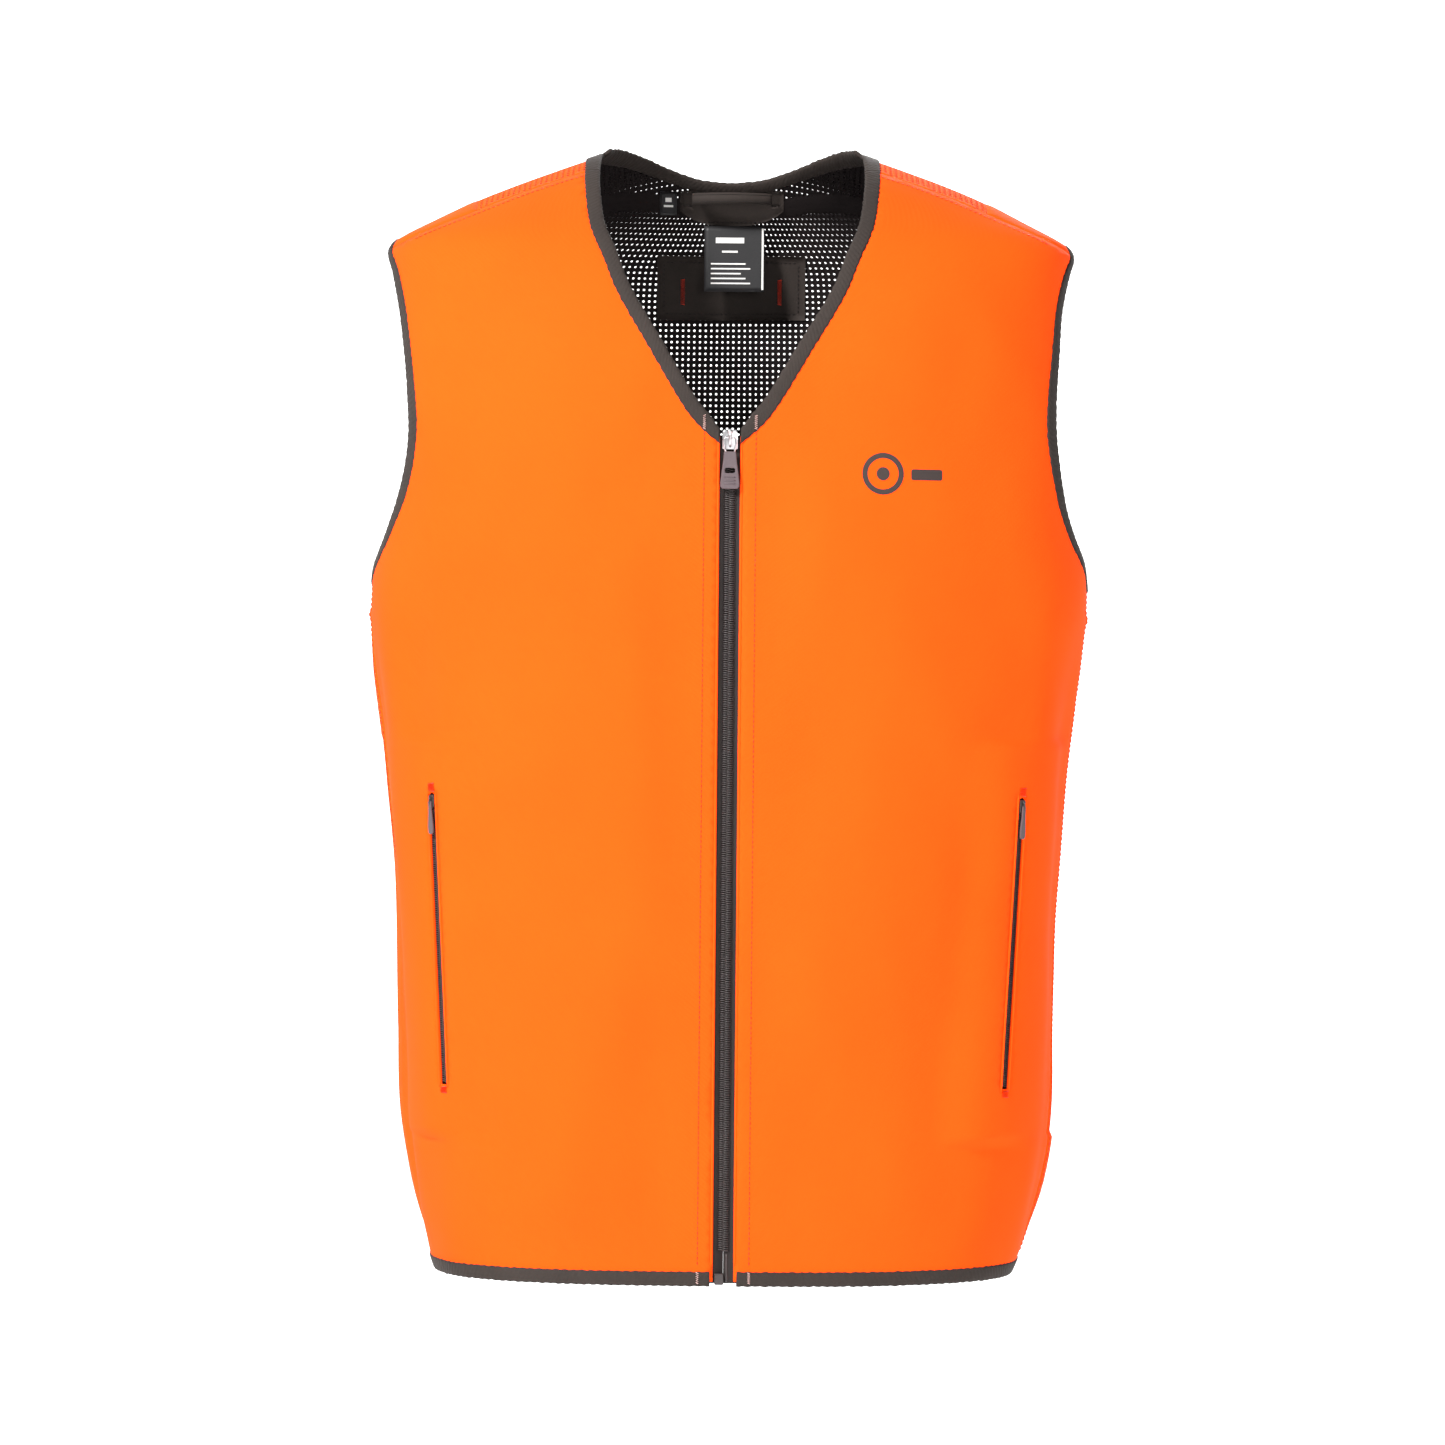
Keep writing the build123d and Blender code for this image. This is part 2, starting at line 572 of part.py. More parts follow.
finish(hang_loop, "hang_loop")

with BuildPart() as care_label:
    block(HEM, (-17.5, 21.2), (84.6, 85.1), (611, 653))
finish(care_label, "care_label")

with BuildPart() as size_label:
    block(FRONT, (-46, -35), (661, 675), (-REACH, 0))
    add(layer(1.7, 2.2), mode=Mode.INTERSECT)
finish(size_label, "size_label")

TAG_LOW, TAG_HIGH = 594.6, 636.0
with BuildPart() as tag_backing:
    block(FRONT, (-47.7, 47.7), (TAG_LOW, TAG_HIGH), (-REACH, 0))
    add(layer(1.7, 2.5), mode=Mode.INTERSECT)
finish(tag_backing, "tag_backing")

with BuildPart() as tag_loop:
    block(FRONT, (-34, 34), (604, 622), (-REACH, 0))
    add(layer(-1.5, -0.3), mode=Mode.INTERSECT)
finish(tag_loop, "tag_loop")

with BuildPart() as bartacks:
    block(POCKET, (-3.2, 3.2), (POCKET_L + 13, POCKET_L + 17), (-5, 5))
    block(FRONT, (29, 33), (605, 621), (-REACH, 0))
    add(layer(-2.5, -1.8), mode=Mode.INTERSECT)
    mirror(about=Plane.YZ)
finish(bartacks, "bartacks")
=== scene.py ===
"""The blaze orange vest around its CAD frame: fabric, bindings, zips, stitching, materials, light and camera.

Lengths are in millimetres and heights are above the hem, as in the CAD source, until place() turns a
point into the frame's metres. The vest's body is a stack of superellipses; phi is the angle round it,
from -90 degrees at the middle of the front, through 0 at the wearer's side, to 90 at the middle of the back.
"""

import math

import bmesh
import bpy
import numpy as np
from mathutils import Matrix, Vector, kdtree, noise
from mathutils.geometry import delaunay_2d_cdt


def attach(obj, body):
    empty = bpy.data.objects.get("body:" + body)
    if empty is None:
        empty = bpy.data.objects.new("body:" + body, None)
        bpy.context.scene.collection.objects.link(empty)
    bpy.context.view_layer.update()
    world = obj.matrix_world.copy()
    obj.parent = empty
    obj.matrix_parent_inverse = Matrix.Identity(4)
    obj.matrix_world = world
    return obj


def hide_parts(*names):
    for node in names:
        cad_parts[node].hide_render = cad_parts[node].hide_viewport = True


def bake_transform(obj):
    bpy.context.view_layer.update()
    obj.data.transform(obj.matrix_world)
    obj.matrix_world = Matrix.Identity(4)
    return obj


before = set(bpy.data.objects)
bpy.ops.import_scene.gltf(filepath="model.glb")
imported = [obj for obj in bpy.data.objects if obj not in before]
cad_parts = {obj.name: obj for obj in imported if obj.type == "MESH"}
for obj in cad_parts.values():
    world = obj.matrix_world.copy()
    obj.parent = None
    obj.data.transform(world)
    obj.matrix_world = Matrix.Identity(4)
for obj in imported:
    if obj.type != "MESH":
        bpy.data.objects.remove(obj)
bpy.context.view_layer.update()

# ---------------------------------------------------------------- sizes of the vest, as in the CAD source
SHOULDER_H = 688.0
FABRIC_T = 1.4
BINDING_W = 9.0
FRONT_EDGE = 6.2
ZIP_H = 502.8
FRONT_AT_HEM, FRONT_AT_ZIP_TOP, ZIP_TOP = 118.0, 130.0, 511.0
SIDE_SEAM_Y = -15.0
WIDTH = [
    (0, 178), (12, 182.5), (30, 187.5), (50, 191.8), (75, 195.8), (103, 198.7), (150, 201.5),
    (250, 207.5), (351, 213.6), (382, 217.2), (402, 219.4), (428, 219.6), (450, 216.5), (475, 213),
    (520, 210.5), (580, 210), (612, 211.5), (624, 212), (631, 208.5), (636, 201.5), (645.5, 183.5),
    (658, 158.5), (670, 130), (679, 106), (684, 92), (688, 81.5), (692, 76), (697, 71.5), (705, 68),
]
FRONT_DEPTH = [
    (0, FRONT_AT_HEM), (250, 123.87), (450, 128.57), (ZIP_TOP, FRONT_AT_ZIP_TOP), (540, 130),
    (570, 127), (600, 118.5), (620, 109), (634, 99.5), (645.5, 89), (658, 76), (670, 61.5),
    (679, 49.5), (684, 42), (688, 36), (692, 31), (697, 26), (705, 20),
]
BACK_DEPTH = [
    (0, 104), (50, 109), (110, 113), (200, 116), (300, 118), (400, 121), (460, 121), (520, 118.5),
    (570, 113.5), (610, 107), (640, 98), (660, 88), (679, 72), (688, 62), (694, 54), (705, 40),
]
SQUARENESS = [(0, 2.7), (600, 2.7), (690, 2.3), (705, 2.3)]
NECK_FREE = [
    (FRONT_EDGE, 511.5), (12.5, 520), (22.6, 533), (41.3, 564.6), (60.2, 597), (69, 619),
    (76.8, 638.5), (80.4, 661), (81.2, 676), (80.5, 689),
]
NECK_SEWN = [
    (FRONT_EDGE, ZIP_H), (19.3, 514), (30, 528), (49, 560), (68, 593), (77.3, 616),
    (85.5, 636), (89.3, 660), (90.2, 674), (90.2, 684),
]
BACK_NECK_FREE = [(80.5, 688.6), (76, 692.2), (68, 694), (55, 691.3), (40, 686.3), (20, 680.8), (0, 679)]
BACK_NECK_SEWN = [(90, 685), (80, 686.3), (68, 686), (55, 683.5), (40, 679.3), (20, 674), (0, 672.3)]
SHOULDER_FRONT_SEAM = [(70, 676.5), (90, 673.5), (125, 661.5), (160, 647), (190, 634.5), (240, 612)]
SHOULDER_BACK_SEAM = [
    (0, 663), (30, 665), (60, 668), (90, 664), (125, 652), (160, 638), (195, 622), (240, 602),
]
YOKE_END = 156.0
VENT_SEAM = [(162, 700), (155, 640), (157, 560), (154, 480), (147, 398)]
VENT_FOOT = 402.0
ARMHOLE = [
    ((0, 631), (0, 0.42)), ((-38, 611), (-0.85, 0.45)), ((-60, 566), (-1, 0.1)),
    ((-69, 508), (-1, -0.1)), ((-50, 452), (-0.7, -0.7)), ((-4, 428), (0, -1)),
    ((42, 450), (0.7, -0.7)), ((60, 505), (1, -0.1)), ((58, 566), (1, 0.1)), ((36, 611), (0.85, 0.45)),
]
POCKET_SHARE, POCKET_FOOT, POCKET_HEAD = 0.85, 117.0, 293.0

MESH = 4.5  # spacing of the points inside a sheet
SEAM_STEP = 2.5  # spacing of the points along a seam
SIDES = {"left": 1, "right": -1}


# ---------------------------------------------------------------- curves
def cubic(t, a, b, slope_a, slope_b, span=1.0):
    """The smooth curve from a to b, at the share t of its span, with the slopes given at its ends."""
    return (
        (2 * t**3 - 3 * t**2 + 1) * a + (t**3 - 2 * t**2 + t) * span * slope_a
        + (3 * t**2 - 2 * t**3) * b + (t**3 - t**2) * span * slope_b
    )


def smooth(knots, steps=24, closed=False):
    """A smooth curve through the knots, as an array of points."""
    pts = np.array(knots, float)
    slope = (np.roll(pts, -1, 0) - np.roll(pts, 1, 0)) / 2
    if not closed:
        slope[0], slope[-1] = pts[1] - pts[0], pts[-1] - pts[-2]
    t = np.linspace(0, 1, steps, endpoint=False)[:, None]
    out = []
    for i in range(len(pts) if closed else len(pts) - 1):
        j = (i + 1) % len(pts)
        out.append(cubic(t, pts[i], pts[j], slope[i], slope[j]))
    if not closed:
        out.append(pts[-1:])
    return np.vstack(out)


def run_along(path):
    """The distance along a path to each of its points."""
    return np.concatenate([[0], np.cumsum(np.linalg.norm(np.diff(path, axis=0), axis=1))])


def read_at(at, run, values):
    """What stands at some distances along a path, from what stands at its points."""
    return np.column_stack([np.interp(at, run, column) for column in values.T])


def even(curve, step, closed=False):
    """The same curve with evenly spaced points."""
    pts = np.vstack([curve, curve[:1]]) if closed else curve
    run = run_along(pts)
    count = max(2, int(round(run[-1] / step)) + 1)
    at = np.linspace(0, run[-1], count)
    return read_at(at[:-1] if closed else at, run, pts)


def table(knots):
    """A profile and its slope against height, every half millimetre."""
    h = np.arange(0, 705.25, 0.5)
    heights, values = np.array(knots, float).T
    slopes = np.empty(len(knots))
    slopes[1:-1] = (values[2:] - values[:-2]) / (heights[2:] - heights[:-2])
    slopes[0] = (values[1] - values[0]) / (heights[1] - heights[0])
    slopes[-1] = (values[-1] - values[-2]) / (heights[-1] - heights[-2])
    i = np.clip(np.searchsorted(heights, h, side="right") - 1, 0, len(knots) - 2)
    step = heights[i + 1] - heights[i]
    v = cubic((h - heights[i]) / step, values[i], values[i + 1], slopes[i], slopes[i + 1], step)
    return h, v, np.gradient(v, h)


PROFILES = {k: table(v) for k, v in {
    "a": WIDTH, "front": FRONT_DEPTH, "back": BACK_DEPTH, "n": SQUARENESS,
}.items()}


def profile(name, h, slope=False):
    grid, value, rise = PROFILES[name]
    return np.interp(h, grid, rise if slope else value)


# ---------------------------------------------------------------- the body's surface
def depth_profile(back, h, slope=False):
    return np.where(back, profile("back", h, slope), profile("front", h, slope))


def point_at(phi, h):
    """x and y of the body's surface at an angle and a height, wearer's left half."""
    n = profile("n", h)
    x = profile("a", h) * np.abs(np.cos(phi)) ** (2 / n)
    y = depth_profile(phi > 0, h) * np.sign(np.sin(phi)) * np.abs(np.sin(phi)) ** (2 / n)
    return x, y


def phi_at_x(x, h, back):
    """The angle at which the surface stands at x, on the front or the back."""
    share = np.clip(np.abs(x) / profile("a", h), 0, 1) ** (profile("n", h) / 2)
    return np.arccos(share) * (1 if back else -1)


def phi_at_y(y, h):
    """The angle at which the surface stands at y."""
    y, h = np.broadcast_arrays(np.asarray(y, float), np.asarray(h, float))
    share = np.clip(np.abs(y) / depth_profile(y > 0, h), 0, 1) ** (profile("n", h) / 2)
    return np.arcsin(share) * np.sign(y)


def height_at(x, y):
    """The height at which the shoulders stand over x and y."""
    low, high = np.full(np.shape(x), 590.0), np.full(np.shape(x), 705.0)
    for _ in range(24):
        mid = (low + high) / 2
        n = profile("n", mid)
        outside = (np.abs(x) / profile("a", mid)) ** n + (np.abs(y) / depth_profile(y > 0, mid)) ** n > 1
        high, low = np.where(outside, mid, high), np.where(outside, low, mid)
    return (low + high) / 2


def normal_at(x, y, h):
    """The outward direction of the body's surface."""
    a, d, n = profile("a", h), depth_profile(y > 0, h), profile("n", h)
    sx, sy = np.abs(x) / a, np.abs(y) / d
    out = np.column_stack([
        np.sign(x) * sx ** (n - 1) / a,
        np.sign(y) * sy ** (n - 1) / d,
        -(sx**n * profile("a", h, True) / a + sy**n * depth_profile(y > 0, h, True) / d),
    ])
    return out / np.linalg.norm(out, axis=1)[:, None]


def pocket_line_x(h):
    return POCKET_SHARE * profile("a", h)


def soft_step(value, low, high):
    t = np.clip((value - low) / (high - low), 0, 1)
    return t * t * (3 - 2 * t)


def lift(x, y, h):
    """How far the worn fabric stands off the plain body: soft folds, and puckers over the hem."""
    broad = np.array([noise.noise(Vector((px / 95, py / 95, ph / 150))) for px, py, ph in zip(x, y, h)])
    fine = np.array([noise.noise(Vector((px / 34 + 7, py / 34, ph / 60))) for px, py, ph in zip(x, y, h)])
    out = 6.4 * broad + 1.5 * fine
    # drapes that run from the chest down and outwards to the hem
    drape = np.sin((np.abs(x) * 0.94 - (h - 250) * 0.28 * np.sign(x)) / 32.0)
    out += 2.6 * drape * soft_step(460 - h, 0, 220) * (y < 0)
    # upright folds under the arms
    side = soft_step(np.abs(x), 165, 200)
    out += side * (2.3 * np.sin(y / 10.5 + h / 190 + np.sign(x)) - 0.8) * soft_step(430 - h, 0, 80)
    # gathers where the elastic binding draws the hem in
    near_hem = np.exp(-(((h - 17) / 12.0) ** 2))
    out += near_hem * (1.3 * np.sin(x / 8.5 + 2 * np.sin(x / 31)) * soft_step(np.abs(x), 60, 150) - 0.3)
    # the lap seam across the back, which runs on to the side seams
    out += 1.3 * np.exp(-(((h - VENT_FOOT) / 2.6) ** 2)) * (y > SIDE_SEAM_Y)
    # held flat by the zip, the pocket zips, the bindings and the shoulders
    held = soft_step(np.abs(x), 20, 60) * np.where(y < 0, 1, 0) + np.where(y < 0, 0, 1)
    pocket = np.abs(np.abs(x) - pocket_line_x(h))
    by_pocket = (h > 85) & (h < 325) & (y < 0)
    held *= np.where(by_pocket, soft_step(pocket, 9, 42), 1)
    held *= 1 - 0.85 * soft_step(h, 560, 640)
    held *= 0.25 + 0.75 * soft_step(h, 0, 60)
    return out * held


def skin(phi, h, depth=0.0, side=1):
    """Points of the worn vest, and the outward direction there: depth is below the fabric's face."""
    phi, h, side = np.broadcast_arrays(*[np.asarray(value, float) for value in (phi, h, side)])
    x, y = point_at(phi, h)
    n = normal_at(x, y, h) * np.column_stack([side, np.ones_like(side), np.ones_like(side)])
    off = lift(x * side, y, h) - depth
    return np.column_stack([x * side, y, h]) + n * np.reshape(off, (-1, 1)), n


def spot(x, h, depth=0.0, back=False):
    """The same at a signed x, on the front or the back."""
    x = np.asarray(x, float)
    return skin(phi_at_x(x, h, back), h, depth, np.where(x < 0, -1.0, 1.0))


def place(points):
    """From millimetres above the hem to the frame's metres."""
    return (np.asarray(points, float) - np.array([0, 0, SHOULDER_H])) / 1000.0


# ---------------------------------------------------------------- flat charts of the body
HALF_ROUND = np.pi / 2 * (1 - np.cos(np.linspace(0, np.pi, 4001))) - np.pi / 2
_cx, _cy = point_at(HALF_ROUND, np.full(4001, 300.0))
ARC = np.concatenate([[0], np.cumsum(np.hypot(np.diff(_cx), np.diff(_cy)))])
_bh, _bd, _ = PROFILES["back"]
CLIMB = np.concatenate([[0], np.cumsum(np.hypot(np.diff(_bh), np.diff(_bd)))])


def round_chart(phi, h):
    """Arc length round the body, and height."""
    return np.column_stack([np.interp(phi, HALF_ROUND, ARC), h])


def round_unchart(u, v):
    return np.interp(u, ARC, HALF_ROUND), v


def back_chart(phi, h):
    """Arc length from the middle of the back, and length up the back."""
    return np.column_stack([ARC[-1] - np.interp(phi, HALF_ROUND, ARC), np.interp(h, _bh, CLIMB)])


def back_unchart(u, v):
    return np.interp(ARC[-1] - u, ARC, HALF_ROUND), np.interp(v, CLIMB, _bh)


SHOULDER_STRETCH = 1.12  # the shoulders' length along their slope, to their length from above


def top_chart(phi, h):
    """The shoulders from above, stretched along their slope."""
    x, y = point_at(phi, h)
    return np.column_stack([x * SHOULDER_STRETCH, y])


def top_unchart(u, v):
    x = u / SHOULDER_STRETCH
    h = height_at(x, v)
    n = profile("n", h)
    up = (np.abs(v) / depth_profile(v > 0, h)) ** (n / 2)
    across = (np.abs(x) / profile("a", h)) ** (n / 2)
    return np.arctan2(up * np.sign(v), across), h


# ---------------------------------------------------------------- cutting lines
LINES = {
    "neck_free": smooth(NECK_FREE), "neck_sewn": smooth(NECK_SEWN),
    "back_free": smooth(BACK_NECK_FREE), "back_sewn": smooth(BACK_NECK_SEWN),
    "front_seam": smooth(SHOULDER_FRONT_SEAM), "back_seam": smooth(SHOULDER_BACK_SEAM),
    "vent": smooth(VENT_SEAM),
}


def armhole(grow):
    """The armhole's edge as (y, h), grown by a distance."""
    return smooth([(y + grow * gy, h + grow * gh) for (y, h), (gy, gh) in ARMHOLE], closed=True)


def inside(polygon, x, y):
    """Which of the points lie in the polygon."""
    hit = np.zeros(np.shape(x), bool)
    for (x0, y0), (x1, y1) in zip(polygon, np.roll(polygon, -1, 0)):
        if y0 != y1:
            hit ^= ((y0 > y) != (y1 > y)) & (x < (x1 - x0) * (y - y0) / (y1 - y0) + x0)
    return hit


def above(line, x, h, shift=0.0):
    return h > np.interp(x, LINES[line][:, 0], LINES[line][:, 1]) + shift


def vent_x(h):
    line = LINES["vent"]
    order = np.argsort(line[:, 1])
    return np.interp(h, line[order, 1], line[order, 0])


def as_angles(pts, back):
    """A line's (x, h) points on the front or the back, as angles and heights."""
    return phi_at_x(pts[:, 0], pts[:, 1], back), pts[:, 1]


def seam_line(name, back):
    return as_angles(even(LINES[name], SEAM_STEP), back)


def armhole_line(grow):
    pts = even(armhole(grow), SEAM_STEP, closed=True)
    return phi_at_y(pts[:, 0], pts[:, 1]), pts[:, 1]


def level_line(h, phi_low, phi_high):
    u = np.arange(np.interp(phi_low, HALF_ROUND, ARC), np.interp(phi_high, HALF_ROUND, ARC), SEAM_STEP)
    return np.interp(u, ARC, HALF_ROUND), np.full(len(u), float(h))


def upright_line(h_low, h_high, x=None, y=None, back=False):
    h = np.arange(h_low, h_high + SEAM_STEP / 2, SEAM_STEP)
    h[-1] = h_high
    return (phi_at_y(np.full(len(h), y), h) if x is None else phi_at_x(np.full(len(h), x), h, back)), h


# ---------------------------------------------------------------- meshes
def new_object(name, points, faces, material, uv=None, smooth_shade=True):
    mesh = bpy.data.meshes.new(name)
    mesh.from_pydata([tuple(p) for p in points], [], [tuple(int(i) for i in f) for f in faces])
    if uv is not None:
        layer = mesh.uv_layers.new(name="UVMap")
        loops = np.empty(len(mesh.loops), np.int32)
        mesh.loops.foreach_get("vertex_index", loops)
        layer.data.foreach_set("uv", np.asarray(uv, np.float32)[loops].ravel())
    mesh.validate()
    obj = bpy.data.objects.new(name, mesh)
    bpy.context.scene.collection.objects.link(obj)
    for m in material if isinstance(material, (list, tuple)) else [material]:
        obj.data.materials.append(m)
    if smooth_shade:
        mesh.shade_smooth()
    return obj


def distance_from(points):
    """Measures from any flat point to the nearest of these."""
    tree = kdtree.KDTree(len(points))
    for i, p in enumerate(points):
        tree.insert((p[0], p[1], 0), i)
    tree.balance()
    return lambda p: tree.find((p[0], p[1], 0))[2]


def triangulate(lines, keep, chart, spacing, punches=((), ())):
    """Covers a region of a chart with triangles.

    lines are (phi, h) curves that the mesh follows, keep says which points of the chart are inside, and
    punches are the points and edges of holes on the chart.
    """
    verts, edges = [], []
    for phi, h in lines:
        first = len(verts)
        verts += [tuple(p) for p in chart(phi, h)]
        edges += [(i, i + 1) for i in range(first, len(verts) - 1)]
    edges += [(len(verts) + a, len(verts) + b) for a, b in punches[1]]
    verts += [tuple(p) for p in punches[0]]
    from_seams = distance_from(verts)
    (u0, v0), (u1, v1) = np.min(verts, axis=0), np.max(verts, axis=0)
    row = spacing * math.sqrt(3) / 2
    rows = np.arange(v0 + row / 2, v1, row)
    inner = []
    for i, v in enumerate(rows):
        us = np.arange(u0 + spacing * (0.25 + 0.5 * (i % 2)), u1, spacing)
        inner.append(np.column_stack([us, np.full(len(us), v)]))
    inner = np.vstack(inner)
    inner = inner[keep(*inner.T)]
    gap = spacing * 0.55
    verts += [tuple(p) for p in inner if from_seams(p) > gap]
    out = delaunay_2d_cdt([Vector(v) for v in verts], edges, [], 0, 1e-5, False)
    pts, faces = np.array([tuple(v) for v in out[0]]), np.array(out[2])
    middle = pts[faces].mean(axis=1)
    faces = faces[keep(*middle.T)]
    used = np.unique(faces)
    back = np.full(len(pts), -1)
    back[used] = np.arange(len(used))
    return pts[used], back[faces]


def weld(parts):
    """Joins (points, faces, uv) sets and merges the points that coincide."""
    points = np.vstack([p for p, _, _ in parts])
    uv = np.vstack([u for _, _, u in parts])
    faces, first = [], 0
    for p, f, _ in parts:
        faces.append(np.asarray(f) + first)
        first += len(p)
    faces = np.vstack(faces)
    key = np.round(points / 0.002).astype(np.int64)
    _, index, inverse = np.unique(key, axis=0, return_index=True, return_inverse=True)
    inverse = inverse.ravel()
    faces = inverse[faces]
    good = (faces[:, 0] != faces[:, 1]) & (faces[:, 1] != faces[:, 2]) & (faces[:, 0] != faces[:, 2])
    return points[index], faces[good], uv[index]


def seam_depth(pts, faces):
    """How deep each point lies: the edges of a sheet turn under, so that a seam reads as a groove."""
    count = {}
    for tri in faces:
        for a, b in ((tri[0], tri[1]), (tri[1], tri[2]), (tri[2], tri[0])):
            key = (a, b) if a < b else (b, a)
            count[key] = count.get(key, 0) + 1
    rim = sorted({v for key, c in count.items() if c == 1 for v in key})
    from_rim = distance_from(pts[rim])
    return np.array([from_rim(p) for p in pts])


def cloth(name, halves, material, inner_material, thickness=FABRIC_T, groove=0.55):
    """A sheet of fabric on the body. halves is a list of (points, faces, chart's inverse, side)."""
    parts, area = [], 0.0
    for pts, faces, unchart, side in halves:
        phi, h = unchart(*pts.T)
        away = seam_depth(pts, faces)
        depth = groove * np.clip(1 - away / 2.2, 0, 1) ** 2
        depth[np.abs(point_at(phi, h)[0]) < 0.5] = 0
        world, _ = skin(phi, h, depth, side)
        tri = world[faces]
        out = np.cross(tri[:, 1] - tri[:, 0], tri[:, 2] - tri[:, 0])
        area += np.linalg.norm(out, axis=1).sum() / 2
        edge = np.linalg.norm(tri - np.roll(tri, 1, axis=1), axis=2).max(axis=1)
        facing = (out * normal_at(*(tri.mean(axis=1) * [side, 1, 1]).T) * [side, 1, 1]).sum(axis=1)
        faces = np.where((facing < 0)[:, None], faces[:, ::-1], faces)[edge < 3.5 * MESH]
        parts.append((world, faces, pts / 100.0))
    points, faces, uv = weld(parts)
    obj = new_object(name, place(points), faces, [material, inner_material], uv)
    if thickness:
        thicken(obj, thickness, offset=-1, material_offset=1, material_offset_rim=0)
    obj["flat_area"] = area / 1e6
    return obj


def thicken(obj, thickness, **settings):
    """Gives a sheet a thickness in millimetres."""
    solid = obj.modifiers.new("thickness", "SOLIDIFY")
    solid.thickness = thickness / 1000
    for key, value in settings.items():
        setattr(solid, key, value)
    graph = bpy.context.evaluated_depsgraph_get()
    mesh = bpy.data.meshes.new_from_object(obj.evaluated_get(graph), depsgraph=graph)
    obj.modifiers.clear()
    obj.data = mesh
    return obj


# ---------------------------------------------------------------- small shapes
def ring_faces(rings, around, closed=False):
    """The quads between rings of points, and a face over each end of an open row."""
    faces = []
    for i in range(rings if closed else rings - 1):
        j = (i + 1) % rings
        for k in range(around):
            m = (k + 1) % around
            faces.append((i * around + k, i * around + m, j * around + m, j * around + k))
    if not closed:
        faces.append(tuple(range(around))[::-1])
        faces.append(tuple((rings - 1) * around + k for k in range(around)))
    return faces


def tube(path, radius, sides=6, closed=False, taper=False):
    """A round tube along a path, as points and faces. radius is one number, or one for each point."""
    path = np.asarray(path, float)
    count = len(path)
    along = np.gradient(path, axis=0)
    if closed:
        along = np.roll(path, -1, 0) - np.roll(path, 1, 0)
    along /= np.linalg.norm(along, axis=1)[:, None] + 1e-12
    up = np.array([0.31, 0.27, 0.91])
    a = np.cross(along, up)
    a /= np.linalg.norm(a, axis=1)[:, None]
    b = np.cross(along, a)
    angle = np.arange(sides) * 2 * np.pi / sides
    ring = np.cos(angle)[None, :, None] * a[:, None, :] + np.sin(angle)[None, :, None] * b[:, None, :]
    size = np.broadcast_to(radius, count).astype(float).copy()
    if taper:
        size[0] *= 0.45
        size[-1] *= 0.45
    points = (path[:, None, :] + ring * size[:, None, None]).reshape(-1, 3)
    return points, ring_faces(count, sides, closed)


def grid_faces(rows, columns):
    """The quads between the points of a grid."""
    return [
        (i * columns + k, i * columns + k + 1, (i + 1) * columns + k + 1, (i + 1) * columns + k)
        for i in range(rows - 1) for k in range(columns - 1)
    ]


def gather(shapes):
    """Several (points, faces) as one."""
    points, faces, first = [], [], 0
    for p, f in shapes:
        points.append(np.asarray(p, float))
        faces += [tuple(i + first for i in face) for face in f]
        first += len(p)
    return np.vstack(points), faces


class Plane:
    """A drawing plane: x across, y up and z out of the vest, in millimetres above the hem."""

    def __init__(self, origin, up, out):
        self.origin = np.array(origin, float)
        self.up = np.array(up, float) / np.linalg.norm(up)
        out = np.array(out, float)
        out -= self.up * out.dot(self.up)
        self.out = out / np.linalg.norm(out)
        self.across = np.cross(self.up, self.out)

    def at(self, points):
        p = np.asarray(points, float)
        return self.origin + p[..., :1] * self.across + p[..., 1:2] * self.up + p[..., 2:3] * self.out


ZIP = Plane((0, -FRONT_AT_HEM, 0), (0, FRONT_AT_HEM - FRONT_AT_ZIP_TOP, ZIP_TOP),
            (0, -ZIP_TOP, FRONT_AT_HEM - FRONT_AT_ZIP_TOP))


def on_body(share, h):
    x = share * profile("a", h)
    phi = phi_at_x(x, h, False)
    return np.array([x, point_at(phi, h)[1], h])


pocket_low, pocket_high = on_body(POCKET_SHARE, POCKET_FOOT), on_body(POCKET_SHARE, POCKET_HEAD)
POCKET_L = float(np.linalg.norm(pocket_high - pocket_low))
pocket_up = (pocket_high - pocket_low) / POCKET_L
pocket_out = np.cross(on_body(POCKET_SHARE + 0.02, 205) - on_body(POCKET_SHARE - 0.02, 205), pocket_up)
POCKETS = {
    "left": Plane(pocket_low, pocket_up, pocket_out),
    "right": Plane(pocket_low * [-1, 1, 1], pocket_up * [-1, 1, 1], pocket_out * [-1, 1, 1]),
}


